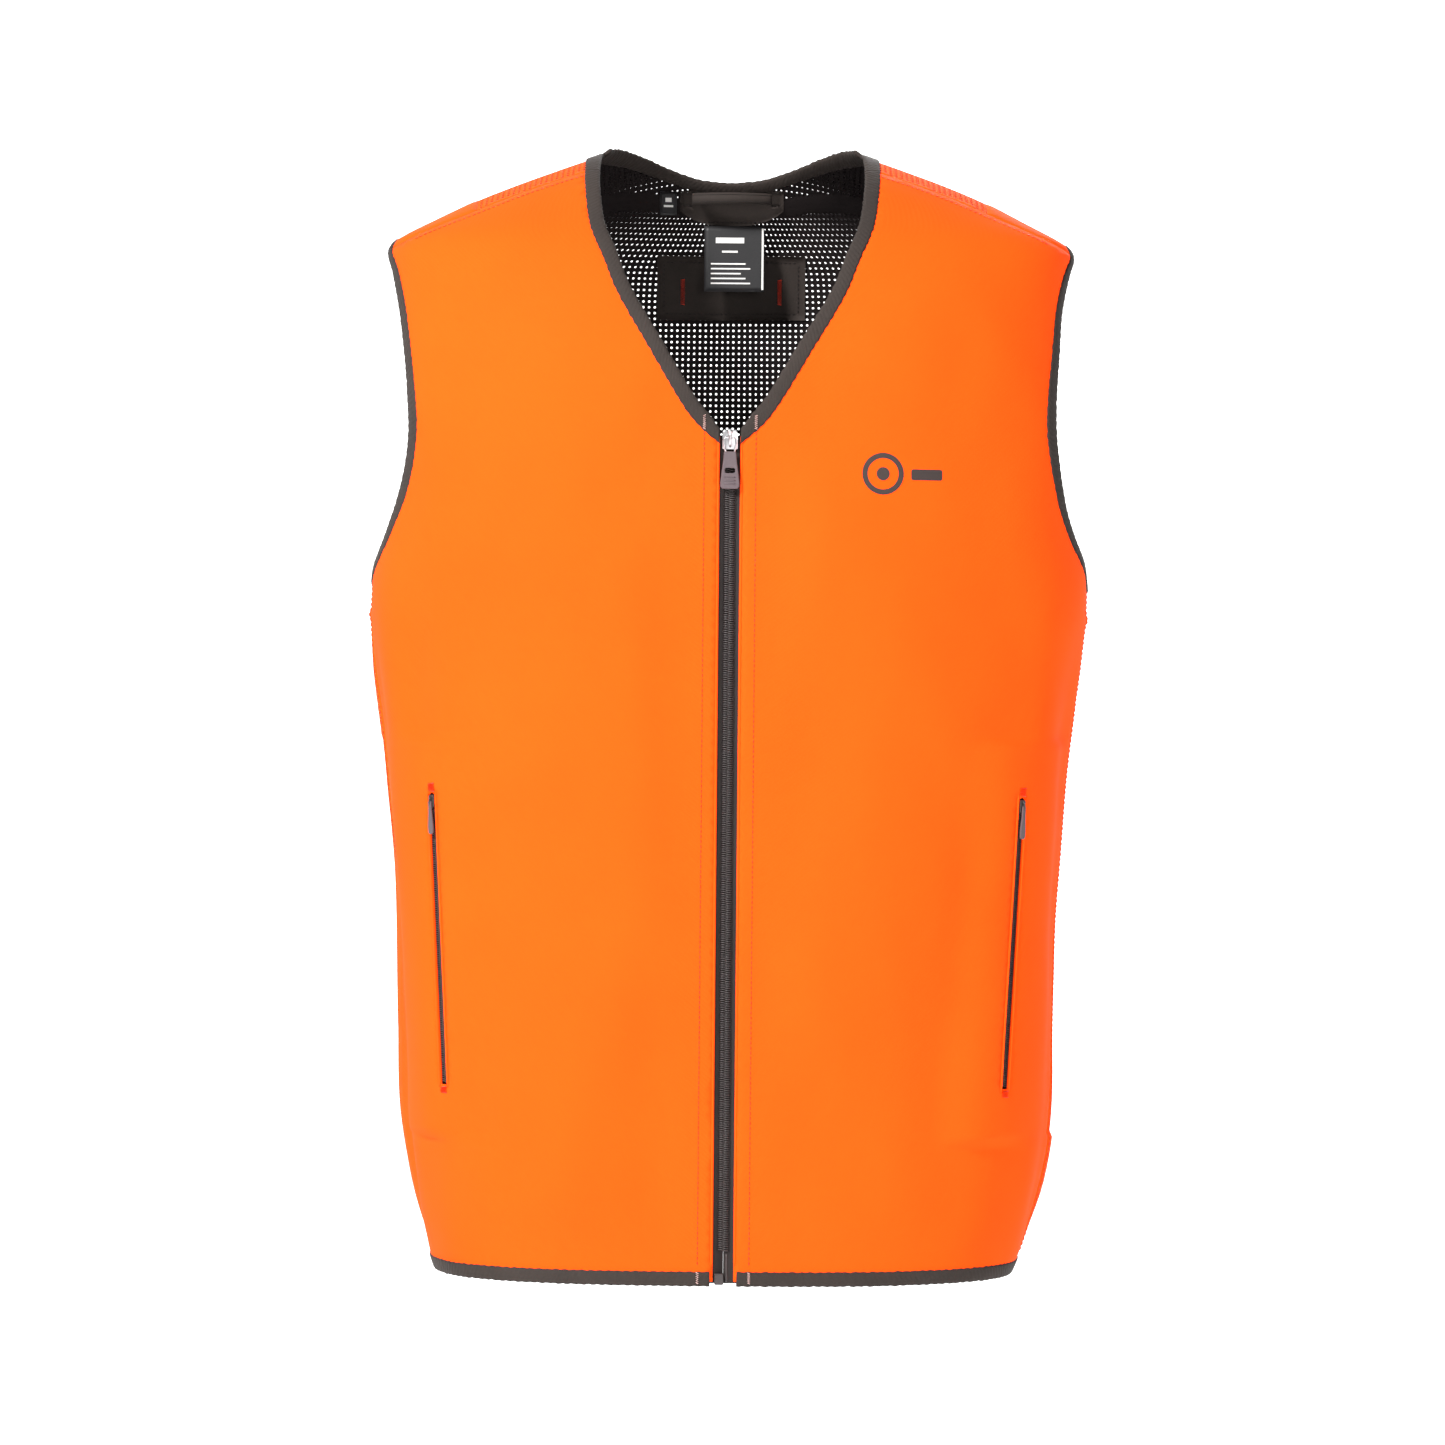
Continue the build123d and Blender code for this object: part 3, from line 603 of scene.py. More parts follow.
def moulded(outline, z0, z1, bevel, plane, hole=None, segments=2):
    """A plate with rounded edges, cut to an outline, with or without a hole."""
    mesh = bmesh.new()
    loops = [outline] + ([hole] if hole is not None else [])
    flat = [Vector(p) for loop in loops for p in loop]
    edges, first = [], 0
    for loop in loops:
        edges += [(first + i, first + (i + 1) % len(loop)) for i in range(len(loop))]
        first += len(loop)
    out = delaunay_2d_cdt(flat, edges, [], 3 if hole is not None else 1, 1e-5, False)
    verts = [mesh.verts.new((v[0], v[1], z0)) for v in out[0]]
    middle_in_hole = (lambda c: inside(np.array(hole), c[0], c[1])) if hole is not None else (lambda c: False)
    for f in out[2]:
        c = np.mean([out[0][i] for i in f], axis=0)
        if not bool(middle_in_hole(c)) and bool(inside(np.array(outline), c[0], c[1])):
            mesh.faces.new([verts[i] for i in f])
    bmesh.ops.delete(mesh, geom=[v for v in mesh.verts if not v.link_faces], context="VERTS")
    grown = bmesh.ops.extrude_face_region(mesh, geom=list(mesh.faces))
    top = [g for g in grown["geom"] if isinstance(g, bmesh.types.BMVert)]
    bmesh.ops.translate(mesh, verts=top, vec=(0, 0, z1 - z0))
    bmesh.ops.recalc_face_normals(mesh, faces=list(mesh.faces))
    bmesh.ops.dissolve_limit(mesh, angle_limit=0.02, verts=list(mesh.verts), edges=list(mesh.edges))
    sharp = [e for e in mesh.edges if e.is_manifold and e.calc_face_angle(0) > 0.6]
    if bevel:
        bmesh.ops.bevel(mesh, geom=sharp, offset=bevel, segments=segments, affect="EDGES", profile=0.6)
    points = plane.at(np.array([tuple(v.co) for v in mesh.verts]))
    mesh.verts.index_update()
    faces = [tuple(v.index for v in f.verts) for f in mesh.faces]
    mesh.free()
    return points, faces


def oval(cx, cy, rx, ry, count=20):
    t = np.arange(count) * 2 * np.pi / count
    return [(cx + rx * math.cos(a), cy + ry * math.sin(a)) for a in t]


def round_box(x0, x1, y0, y1, r, count=5):
    out = []
    corners = ((x1 - r, y1 - r, 0), (x0 + r, y1 - r, 90), (x0 + r, y0 + r, 180), (x1 - r, y0 + r, 270))
    for cx, cy, start in corners:
        for i in range(count):
            a = math.radians(start + 90 * i / (count - 1))
            out.append((cx + r * math.cos(a), cy + r * math.sin(a)))
    return out


def stitches(path, normals, length=2.3, gap=0.9, radius=0.32):
    """A row of stitches lying on a seam."""
    run = run_along(path)
    shapes = []
    for s in np.arange(gap, run[-1] - length, length + gap):
        at = s + length * np.array([0.0, 0.2, 0.5, 0.8, 1.0])
        rise = np.array([-0.25, 0.12, 0.2, 0.12, -0.25])[:, None]
        p = read_at(at, run, path) + read_at(at, run, normals) * rise
        shapes.append(tube(p, radius, 4, taper=True))
    return gather(shapes)


def zigzag(path, normals, width, pitch, radius=0.28):
    """Close zigzag stitching along a short path."""
    run = run_along(path)
    at = np.arange(0, run[-1], pitch / 2)
    p, n = read_at(at, run, path), read_at(at, run, normals)
    across = np.cross(np.gradient(p, axis=0), n)
    across /= np.linalg.norm(across, axis=1)[:, None] + 1e-9
    swing = np.where(np.arange(len(at)) % 2 == 0, 1, -1)[:, None] * width / 2
    return tube(p + across * swing + n * 0.25, radius, 5)


# ---------------------------------------------------------------- materials
def paint(name, colour, rough=0.7, metal=0.0, weave=0.0, mottle=0.1, glow=0.0, spec=0.35, grain=900.0,
          bump=0.12, glow_colour=(1.0, 0.035, 0.0)):
    """A surface with its own grain: fabric when weave is set, and otherwise moulded or cast."""
    mat = bpy.data.materials.new(name)
    mat.use_nodes = True
    nodes, link = mat.node_tree.nodes, mat.node_tree.links.new

    def node(kind, **values):
        made = nodes.new("ShaderNode" + kind)
        return fill(made, **values)

    def fill(made, **values):
        for key, value in values.items():
            made.inputs[key.replace("_", " ")].default_value = value
        return made

    shader = fill(nodes["Principled BSDF"], Metallic=metal, Specular_IOR_Level=spec)
    where = node("TexCoord")
    clouds, fine = node("TexNoise", Scale=14.0, Detail=6.0), node("TexNoise", Scale=grain, Detail=3.0)
    for texture in (clouds, fine):
        link(where.outputs["Object"], texture.inputs["Vector"])
    both = node("Math")
    both.operation = "MULTIPLY_ADD"
    link(fine.outputs["Fac"], both.inputs[0])
    both.inputs[1].default_value = 0.5
    link(clouds.outputs["Fac"], both.inputs[2])
    ramp = node("ValToRGB")
    for stop, position, share in zip(ramp.color_ramp.elements, (0.45, 1.0), (1 - mottle, 1 + mottle)):
        stop.position = position
        stop.color = (*[min(1, c * share) for c in colour], 1)
    link(both.outputs[0], ramp.inputs["Fac"])
    link(ramp.outputs["Color"], shader.inputs["Base Color"])
    coarse = node("MapRange", To_Min=max(0.05, rough - 0.08), To_Max=min(1.0, rough + 0.08))
    link(fine.outputs["Fac"], coarse.inputs["Value"])
    link(coarse.outputs["Result"], shader.inputs["Roughness"])
    height = fine.outputs["Fac"]
    if weave:
        turn = node("Mapping", Rotation=(0.0, 0.0, 0.9))
        link(where.outputs["UV"], turn.inputs["Vector"])
        twill = node("TexWave", Scale=weave, Distortion=0.6)
        link(turn.outputs["Vector"], twill.inputs["Vector"])
        mix = node("Math")
        mix.operation = "ADD"
        link(twill.outputs["Fac"], mix.inputs[0])
        link(fine.outputs["Fac"], mix.inputs[1])
        height = mix.outputs[0]
    relief = node("Bump", Strength=bump, Distance=0.0004)
    link(height, relief.inputs["Height"])
    link(relief.outputs["Normal"], shader.inputs["Normal"])
    # Emission: on the orange fabric and threads a painted red glow that stands in for shade; on the studio floor
    # and backdrop an even brightness.
    if glow:
        fill(shader, Emission_Color=(*glow_colour, 1), Emission_Strength=glow)
    return mat


# The orange fabric's red emission is painted shade: a glow that stands in for the redder colour of its shaded
# sides.
ORANGE = paint(
    "orange softshell", (0.95, 0.072, 0.004), rough=0.85, weave=14.0, mottle=0.05, glow=0.34, spec=0.06
)
LINING = paint("charcoal lining", (0.012, 0.009, 0.009), rough=0.95, weave=10.0, mottle=0.3, spec=0.1)
TRIM = paint("binding", (0.027, 0.02, 0.017), rough=0.82, weave=16.0, mottle=0.25, spec=0.25, bump=0.3)
TAPE = paint("zip tape", (0.014, 0.01, 0.009), rough=0.85, weave=24.0, mottle=0.25)
COIL = paint("zip coil", (0.034, 0.026, 0.025), rough=0.45, mottle=0.15, spec=0.5)
FITTING = paint("zip fitting", (0.03, 0.022, 0.021), rough=0.38, mottle=0.15, spec=0.5, grain=500.0)
STEEL = paint("slider steel", (0.55, 0.54, 0.55), rough=0.3, metal=1.0, mottle=0.08, grain=600.0)
MOULDING = paint("pull moulding", (0.085, 0.062, 0.068), rough=0.5, mottle=0.12, grain=700.0)
# The orange and tack threads carry the same painted red glow, standing in for their shade colour.
THREAD = paint("orange thread", (0.5, 0.02, 0.002), rough=0.6, mottle=0.2, glow=0.12)
TACK = paint("tack thread", (0.75, 0.06, 0.03), rough=0.6, mottle=0.2, glow=0.08)
PALE = paint("pale thread", (0.85, 0.55, 0.5), rough=0.6, mottle=0.1)
LABEL = paint("label satin", (0.012, 0.011, 0.012), rough=0.5, weave=30.0, mottle=0.2)
INK = paint("pale print", (0.75, 0.73, 0.7), rough=0.7, mottle=0.06)
PRINT = paint("chest print", (0.03, 0.02, 0.018), rough=0.6, mottle=0.15)


def add(name, shape, mat, body=None, slot=None, replaces=(), side=None, uv=None):
    """Puts one piece in the scene. side bakes its transform into its mesh; body makes it ride."""
    made = isinstance(shape, bpy.types.Object)
    obj = shape if made else new_object(name, place(shape[0]), shape[1], mat, uv)
    obj.name = name
    if side:
        bend(obj)
    else:
        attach(obj, body)
    if replaces:
        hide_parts(*replaces)
    return obj


def bend(obj):
    """Bakes a piece's transform into its mesh."""
    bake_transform(obj)


# ---------------------------------------------------------------- fabric panels
TUCK = 4.5  # the fabric's edge runs this far under a binding
hole_loop = armhole(TUCK)


def joined(a, b):
    return np.concatenate([a[0], b[0]]), np.concatenate([a[1], b[1]])


def mid_line(free, sewn):
    """The line halfway between a binding's two edges."""
    n = 120
    f, s = LINES[free], LINES[sewn]
    f = f[np.linspace(0, len(f) - 1, n).astype(int)]
    s = s[np.linspace(0, len(s) - 1, n).astype(int)]
    return even((f + s) / 2, SEAM_STEP)


NECK_MID = mid_line("neck_free", "neck_sewn")
BACK_MID = mid_line("back_free", "back_sewn")


def clear_of_neck(x, y, h):
    front = (h > NECK_MID[0, 1]) & (x < np.interp(h, NECK_MID[:, 1], NECK_MID[:, 0]))
    order = np.argsort(BACK_MID[:, 0])
    back = (x < BACK_MID[:, 0].max()) & (h > np.interp(x, BACK_MID[order, 0], BACK_MID[order, 1]))
    return ~np.where(y < 0, front, back)


def common(phi, h):
    x, y = point_at(phi, h)
    return x, y, (h > 3.0) & ~inside(hole_loop, y, h) & clear_of_neck(x, y, h)


def pocket_gap(x, h):
    return (np.abs(x - pocket_line_x(h)) < 1.9) & (h > POCKET_FOOT) & (h < POCKET_HEAD)


def keep_front(u, v):
    phi, h = round_unchart(u, v)
    x, y, ok = common(phi, h)
    return ok & (y < SIDE_SEAM_Y) & (x > FRONT_EDGE) & ~above("front_seam", x, h) & ~pocket_gap(x, h)


def keep_side_back(u, v):
    phi, h = round_unchart(u, v)
    x, y, ok = common(phi, h)
    side = (y > SIDE_SEAM_Y) & (h < 650) & ((x > vent_x(h)) | (y < 0))
    lower = (h < VENT_FOOT) & (y > 0) & (x < vent_x(VENT_FOOT))
    return ok & side & ~((y > 0) & above("back_seam", x, h)) & ~lower


slit = np.arange(POCKET_FOOT, POCKET_HEAD + 1, 2.5)
slit_lines = [(phi_at_x(pocket_line_x(slit) + d, slit, False), slit) for d in (-1.9, 1.9)]
front_lines = [
    upright_line(3.0, 509.0, x=FRONT_EDGE), upright_line(3.0, 432.0, y=SIDE_SEAM_Y),
    level_line(3.0, -np.pi / 2 + 0.02, -0.02), seam_line("front_seam", False), armhole_line(TUCK),
    as_angles(NECK_MID, False), *slit_lines,
]
front_mesh = triangulate(front_lines, keep_front, round_chart, MESH)
panels = {}
for side, s in SIDES.items():
    obj = cloth("front_%s_fabric" % side, [(*front_mesh, round_unchart, s)], ORANGE, LINING)
    panels["front_" + side] = add("front_%s_fabric" % side, obj, None, side=side, slot="orange_shell",
                                  replaces=("front_%s_panel" % side, "front_%s_side_panel" % side))


def keep_lower(u, v):
    phi, h = back_unchart(u, v)
    x, y, ok = common(phi, h)
    return ok & (y > 0) & (h < VENT_FOOT) & (x < vent_x(VENT_FOOT))


lower_lines = [
    level_line(3.0, 0.02, np.pi / 2), level_line(VENT_FOOT, 0.2, np.pi / 2),
    upright_line(3.0, VENT_FOOT, x=float(vent_x(VENT_FOOT)), back=True),
    (np.full(60, np.pi / 2), np.linspace(3, 680, 60)),
]
lower_mesh = triangulate(lower_lines, keep_lower, back_chart, MESH)
halves = [(*lower_mesh, back_unchart, s) for s in (1, -1)]
obj = cloth("back_lower_fabric", halves, ORANGE, LINING)
panels["back_lower"] = add("back_lower_fabric", obj, None, "root", "orange_shell", ("back_lower_panel",))

side_lines = [
    upright_line(3.0, 432.0, y=SIDE_SEAM_Y), level_line(3.0, -0.6, 1.2), armhole_line(TUCK),
    seam_line("back_seam", True), seam_line("vent", True), level_line(VENT_FOOT, 0.5, 1.2),
    upright_line(3.0, VENT_FOOT, x=float(vent_x(VENT_FOOT)), back=True),
]
side_mesh = triangulate(side_lines, keep_side_back, round_chart, MESH)
for side, s in SIDES.items():
    obj = cloth("back_%s_fabric" % side, [(*side_mesh, round_unchart, s)], ORANGE, LINING)
    panels["back_" + side] = add("back_%s_fabric" % side, obj, None, "root", "orange_shell",
                                 ("back_%s_panel" % side,))

# perforated fabric: the back's upper panel and the yoke
PITCH, HOLE_R = 3.7, 0.85


def punched(keep, across, low, high, margin=3.0):
    """Hexagonal holes on a square grid: their chart points and edges, and their centres."""
    grid = np.meshgrid(np.arange(PITCH / 2, across, PITCH), np.arange(low, high, PITCH))
    gu, gv = grid[0].ravel(), grid[1].ravel()
    ok = keep(gu, gv)
    for du, dv in ((margin, 0), (-margin, 0), (0, margin), (0, -margin)):
        ok &= keep(np.maximum(gu + du, 0.01), gv + dv)
    gu, gv = gu[ok], gv[ok]
    pts, edges = [], []
    for cu, cv in zip(gu, gv):
        first = len(pts)
        for k in range(6):
            a = k * math.pi / 3 + 0.3
            pts.append((cu + HOLE_R * math.cos(a), cv + HOLE_R * math.sin(a)))
            edges.append((first + k, first + (k + 1) % 6))
    return (pts, edges), np.column_stack([gu, gv])


def clear_of_holes(keep, centres):
    from_centres = distance_from(centres)

    def test(u, v):
        far = np.array([from_centres(p) > HOLE_R * 0.7 for p in zip(u, v)], bool)
        return keep(u, v) & far

    return test


def keep_vent(u, v):
    phi, h = back_unchart(u, v)
    x, y, ok = common(phi, h)
    return ok & (u > 0) & (phi > 0) & (h > VENT_FOOT) & (x < vent_x(h)) & ~above("back_seam", x, h)


def between_seams(u, v):
    """How far out a point of the shoulders is, and whether it lies between their front and back seams."""
    phi, h = top_unchart(u, v)
    x, y, ok = common(phi, h)
    past_seam = np.where(y > 0, above("back_seam", x, h), above("front_seam", x, h))
    return x, ok & past_seam & (h > 600)


def keep_yoke(u, v):
    x, ok = between_seams(u, v)
    return ok & (x < YOKE_END)


def keep_cap(u, v):
    x, ok = between_seams(u, v)
    return ok & (x > YOKE_END)


def centre_line(low, high):
    h = np.arange(low, high, SEAM_STEP)
    return np.full(len(h), np.pi / 2), h


def two_layers(name, mesh_part, unchart, slot, replaces):
    """The punched fabric: an orange face whose holes' walls carry the dark lining colour as painted shade, and
    the dark lining behind it.
    """
    halves = [(*mesh_part, unchart, 1), (*mesh_part, unchart, -1)]
    face = cloth(name + "_face", halves, ORANGE, LINING, thickness=0)
    area = face["flat_area"]
    # the holes' walls take the dark lining material, which paints the shade inside the holes
    thicken(face, FABRIC_T, offset=-1, use_rim_only=True, material_offset_rim=1)
    face["flat_area"] = area / (1 - 1.5 * math.sqrt(3) * HOLE_R**2 / PITCH**2)  # the cut, before punching
    parts = []
    for pts, faces, _, s in halves:
        phi, h = unchart(*pts.T)
        world, n = skin(phi, h, FABRIC_T, s)
        tri = world[faces]
        out = np.cross(tri[:, 1] - tri[:, 0], tri[:, 2] - tri[:, 0])
        turn = (out * n[faces[:, 0]]).sum(axis=1) > 0
        parts.append((world, np.where(turn[:, None], faces[:, ::-1], faces), pts / 100.0))
    points, faces, uv = weld(parts)
    back = new_object(name + "_lining", place(points), faces, LINING, uv)
    panels[name] = add(name + "_face", face, None, "root", slot, replaces)
    add(name + "_lining", back, None, "root", slot)


vent_lines = [
    centre_line(VENT_FOOT, 663.0), level_line(VENT_FOOT, 0.5, np.pi / 2), seam_line("vent", True),
    seam_line("back_seam", True),
]
chart_low, chart_high = float(np.interp(VENT_FOOT, _bh, CLIMB)), float(np.interp(672, _bh, CLIMB))
holes, centres = punched(keep_vent, 175, chart_low + 1.8, chart_high)
vent_mesh = triangulate(vent_lines, clear_of_holes(keep_vent, centres), back_chart, 6.0, holes)
two_layers("back_vent", vent_mesh, back_unchart, "orange_vent", ("back_vent_panel",))

# the yoke runs over the shoulders from the front seam to the back seam, in one piece behind the neck
yoke_end_y = np.arange(-92.0, 104.0, SEAM_STEP)
yoke_end = top_unchart(np.full(len(yoke_end_y), YOKE_END * SHOULDER_STRETCH), yoke_end_y)
yoke_lines = [
    seam_line("front_seam", False), seam_line("back_seam", True), yoke_end,
    as_angles(NECK_MID, False),
    as_angles(BACK_MID, True), centre_line(655.0, 684.0),
]
holes, centres = punched(keep_yoke, 180, -100, 110, 2.6)
yoke_mesh = triangulate(yoke_lines, clear_of_holes(keep_yoke, centres), top_chart, 5.0, holes)
two_layers("yoke", yoke_mesh, top_unchart, "orange_vent", ("shoulder_yoke",))

cap_lines = [seam_line("front_seam", False), seam_line("back_seam", True), yoke_end, armhole_line(TUCK)]
cap_mesh = triangulate(cap_lines, keep_cap, top_chart, MESH)
for side, s in SIDES.items():
    obj = cloth("shoulder_%s_cap_fabric" % side, [(*cap_mesh, top_unchart, s)], ORANGE, LINING)
    panels["cap_" + side] = add("shoulder_%s_cap_fabric" % side, obj, None, "root", "orange_shell",
                                ("shoulder_%s_cap" % side,))


# ---------------------------------------------------------------- bindings
def pair(free, sewn, step=1.6):
    """Resamples a binding's two edges to matching points. Each is (phi, h)."""
    out, count = [], None
    for phi, h in (free, sewn):
        run = run_along(np.column_stack([*point_at(phi, h), h]))
        if count is None:
            count = int(run[-1] / step) + 1
        at = np.linspace(0, run[-1], count)
        out.append((np.interp(at, run, phi), np.interp(at, run, h)))
    return out


# across the binding, from its sewn edge round its free edge and back inside: share, height over the fabric
BIND = [
    (0.0, -0.2), (0.03, 0.55), (0.15, 0.85), (0.5, 0.8), (0.82, 0.75), (0.97, 0.35), (1.02, -0.5),
    (1.0, -1.5), (0.85, -2.2), (0.5, -2.25), (0.15, -2.2), (0.02, -1.6),
]


def binding(name, segments, closed, mats, **kind):
    """A folded strip over an edge. segments are (free, sewn, side) runs, in order along the edge."""
    rings = []
    for free, sewn, s in segments:
        (fp, fh), (sp, sh) = pair(free, sewn)
        rings.append([skin(sp + (fp - sp) * t, sh + (fh - sh) * t, -z, s)[0] for t, z in BIND])
    grid = np.concatenate([np.stack(r, axis=1) for r in rings])
    keep_rows = np.ones(len(grid), bool)
    keep_rows[1:] = np.linalg.norm(np.diff(grid[:, 3], axis=0), axis=1) > 0.4
    grid = grid[keep_rows]
    # fine ribs and gathers across the strip
    run = run_along(grid[:, 3])
    centre = grid.mean(axis=1, keepdims=True)
    gathers = np.array([noise.noise(Vector((r / 5, 0, len(name)))) for r in run])
    swell = 0.05 * np.sin(run / 0.85) + 0.07 * gathers
    grid = centre + (grid - centre) * (1 + swell[:, None, None])
    count, around = grid.shape[:2]
    uv = np.column_stack([np.repeat(run, around) / 100, np.tile(np.arange(around), count) / 60.0])
    shape = (grid.reshape(-1, 3), ring_faces(count, around, closed))
    return add(name, shape, mats, uv=uv, **kind)


neck_f, neck_s = as_angles(LINES["neck_free"], False), as_angles(LINES["neck_sewn"], False)
back_f, back_s = as_angles(LINES["back_free"], True), as_angles(LINES["back_sewn"], True)
SPLIT = 674.0


def cut(line, low, high):
    ok = (line[1] >= low) & (line[1] <= high)
    return line[0][ok], line[1][ok]


def flipped(line):
    return line[0][::-1], line[1][::-1]


for side, s in SIDES.items():
    binding("neck_binding_%s_strip" % side, [(cut(neck_f, 0, SPLIT), cut(neck_s, 0, SPLIT), s)], False, TRIM,
            side=side, slot="binding", replaces=("neck_binding_" + side,))
top_f = joined(cut(neck_f, SPLIT - 0.5, 800), back_f)
top_s = joined(cut(neck_s, SPLIT - 0.5, 800), back_s)
binding("neck_binding_ring", [(top_f, top_s, 1), (flipped(top_f), flipped(top_s), -1)], False, TRIM,
        body="root", slot="binding", replaces=("neck_binding",))

HEM_EDGE = 0.3  # the free edge of the hem and armhole bindings, in from the cut edge
hem_u = np.linspace(0, ARC[-1], 400)
hem_phi = np.interp(hem_u, ARC, HALF_ROUND)
front_part = (hem_phi > float(phi_at_x(7.2, 4.0, False))) & (hem_phi < float(phi_at_y(SIDE_SEAM_Y, 4.0)))
back_part = hem_phi > float(phi_at_y(SIDE_SEAM_Y, 4.0)) - 0.004


def hem_edges(part):
    """The free and the sewn edge of the hem's binding, along a part of the hem."""
    return [(hem_phi[part], np.full(part.sum(), h)) for h in (HEM_EDGE, BINDING_W)]


for side, s in SIDES.items():
    binding("hem_binding_%s_strip" % side, [(*hem_edges(front_part), s)], False, TRIM,
            side=side, slot="binding", replaces=("hem_binding_" + side,))
low, high = hem_edges(back_part)
binding("hem_binding_back_strip", [(low, high, 1), (flipped(low), flipped(high), -1)], False, TRIM,
        body="root", slot="binding", replaces=("hem_binding",))

arm_edges = [(phi_at_y(*edge.T), edge[:, 1]) for edge in (armhole(HEM_EDGE), armhole(BINDING_W))]
for side, s in SIDES.items():
    binding("armhole_binding_%s_strip" % side, [(*arm_edges, s)], True, TRIM,
            body="root", slot="binding", replaces=("armhole_binding_" + side,))

# ---------------------------------------------------------------- front zip
def coil(rows, x_in, x_out, z_low, z_high, plane, shift, pitch=1.33):
    """One row of a coil zip: a loop of wire for each tooth."""
    zc, zr = (z_low + z_high) / 2, (z_high - z_low) / 2 - 0.2
    shapes = []
    for y in np.arange(rows[0] + shift, rows[1], pitch):
        path = plane.at(np.array([
            (x_out, y - 0.1, zc - zr), (x_in, y - 0.05, zc - zr * 0.8), (x_in + (x_in - x_out) * 0.08, y, zc),
            (x_in, y + 0.05, zc + zr * 0.8), (x_out, y + 0.1, zc + zr),
        ]))
        shapes.append(tube(path, [0.36, 0.42, 0.5, 0.42, 0.36], 5))
    return gather(shapes)


def strip(x0, x1, y0, y1, z, thick, plane, step=3.0):
    """A flat woven strip, with a slight wave at its edge."""
    ys = np.arange(y0, y1 + step, step)
    ys[-1] = y1
    top = np.array([[(x0, y, z), ((x0 + x1) / 2, y, z + 0.1), (x1, y, z)] for y in ys])
    low = top - [0, 0, thick]
    ring = np.concatenate([top, low[:, ::-1]], axis=1)
    count, around = ring.shape[:2]
    return plane.at(ring.reshape(-1, 3)), ring_faces(count, around)


ROW_FOOT, ROW_HEAD = 21.0, 498.5
for side, s in SIDES.items():
    body = "front_" + side
    shift = 0.5 if s > 0 else 1.16  # the two rows stand half a pitch apart
    add("zip_coil_" + side, coil((ROW_FOOT, ROW_HEAD), s * 0.1, s * 2.9, -3.0, -0.8, ZIP, shift),
        COIL, body, "zip_coil", ("zip_teeth_" + side,))
    add("zip_tape_%s_strip" % side,
        strip(*sorted((s * 0.06, s * 18)), 2.0, 508.0, -1.7, 0.5, ZIP),
        TAPE, body, "zip_tape", ("zip_tape_" + side,))
    cord = np.array([(s * 3.5, y, -1.35) for y in np.arange(20, ROW_HEAD, 4.0)])
    row = stitches(ZIP.at(cord), np.tile(ZIP.out, (len(cord), 1)), 2.0, 0.7, 0.25)
    add("zip_tape_%s_stitches" % side, row, TAPE, body, "zip_tape")

# slider: two shields joined at the top, a crown with a ball, a wire bail and a moulded tab
shield = [(-4.6, 499.9), (-2.6, 499.5), (2.6, 499.5), (4.6, 499.9), (4.7, 505), (4.5, 509.5), (3.6, 511.4),
          (1.2, 510.6), (0, 509.4), (-1.2, 510.6), (-3.6, 511.4), (-4.5, 509.5), (-4.7, 505)]
slider = [
    moulded(shield, -0.5, 0.6, 0.35, ZIP), moulded(shield, -4.4, -3.4, 0.35, ZIP),
    moulded([(-1.3, 508.2), (0, 506.4), (1.3, 508.2), (0.9, 510.2), (-0.9, 510.2)], -3.5, -0.4, 0.15, ZIP),
]
crown = ZIP.at(np.array([
    (0, 501.5, 0.4), (0, 502.5, 2.0), (0, 504.5, 3.0), (0, 507.5, 3.2), (0, 509.6, 2.4), (0, 510.4, 0.6),
]))
slider.append(tube(even(smooth(crown), 0.6), 0.75, 8))
ball = bmesh.new()
bmesh.ops.create_icosphere(ball, subdivisions=3, radius=1.55)
centre = ZIP.at(np.array([(0, 510.2, 2.6)]))[0]
ball_points = np.array([tuple(v.co) for v in ball.verts]) + centre
slider.append((ball_points, [tuple(v.index for v in f.verts) for f in ball.faces]))
ball.free()
add("zip_slider_body", gather(slider), STEEL, "zip_slider", "bail_metal", ("zip_slider",))

bail_path = [(-3.0, 506.5, 2.2), (-3.7, 504.5, 2.2), (-3.3, 501, 2.2), (-2.7, 498.6, 2.2), (-2.4, 497.4, 2.2),
             (0, 497.2, 2.2), (2.4, 497.4, 2.2), (2.7, 498.6, 2.2), (3.3, 501, 2.2), (3.7, 504.5, 2.2),
             (3.0, 506.5, 2.2), (0, 506.7, 2.2)]
bail = even(smooth(bail_path, closed=True), 0.7, closed=True)
add("zip_pull_bail_wire", tube(ZIP.at(bail), 0.55, 8, closed=True), STEEL, "zip_pull", "bail_metal",
    ("zip_pull_bail",))
half_tab = [(-3.6, 498.3), (-3.9, 494), (-4.6, 489), (-5.7, 480), (-5.7, 477.6), (-4.4, 476.1)]
tab = half_tab + [(-x, y) for x, y in reversed(half_tab)]
slot_hole = round_box(-3.0, 3.0, 485.5, 488.5, 0.9)
tab_shapes = [moulded(tab, 1.2, 3.1, 0.5, ZIP, slot_hole, 3)]
for y in (479.0, 481.0, 483.0):
    rib = ZIP.at(np.array([(-3.4, y, 3.05), (-1.7, y, 3.15), (1.7, y, 3.15), (3.4, y, 3.05)]))
    tab_shapes.append(tube(rib, 0.35, 6))
add("zip_pull_tab_moulding", gather(tab_shapes), MOULDING, "zip_pull", "pull_moulding", ("zip_pull_tab",))

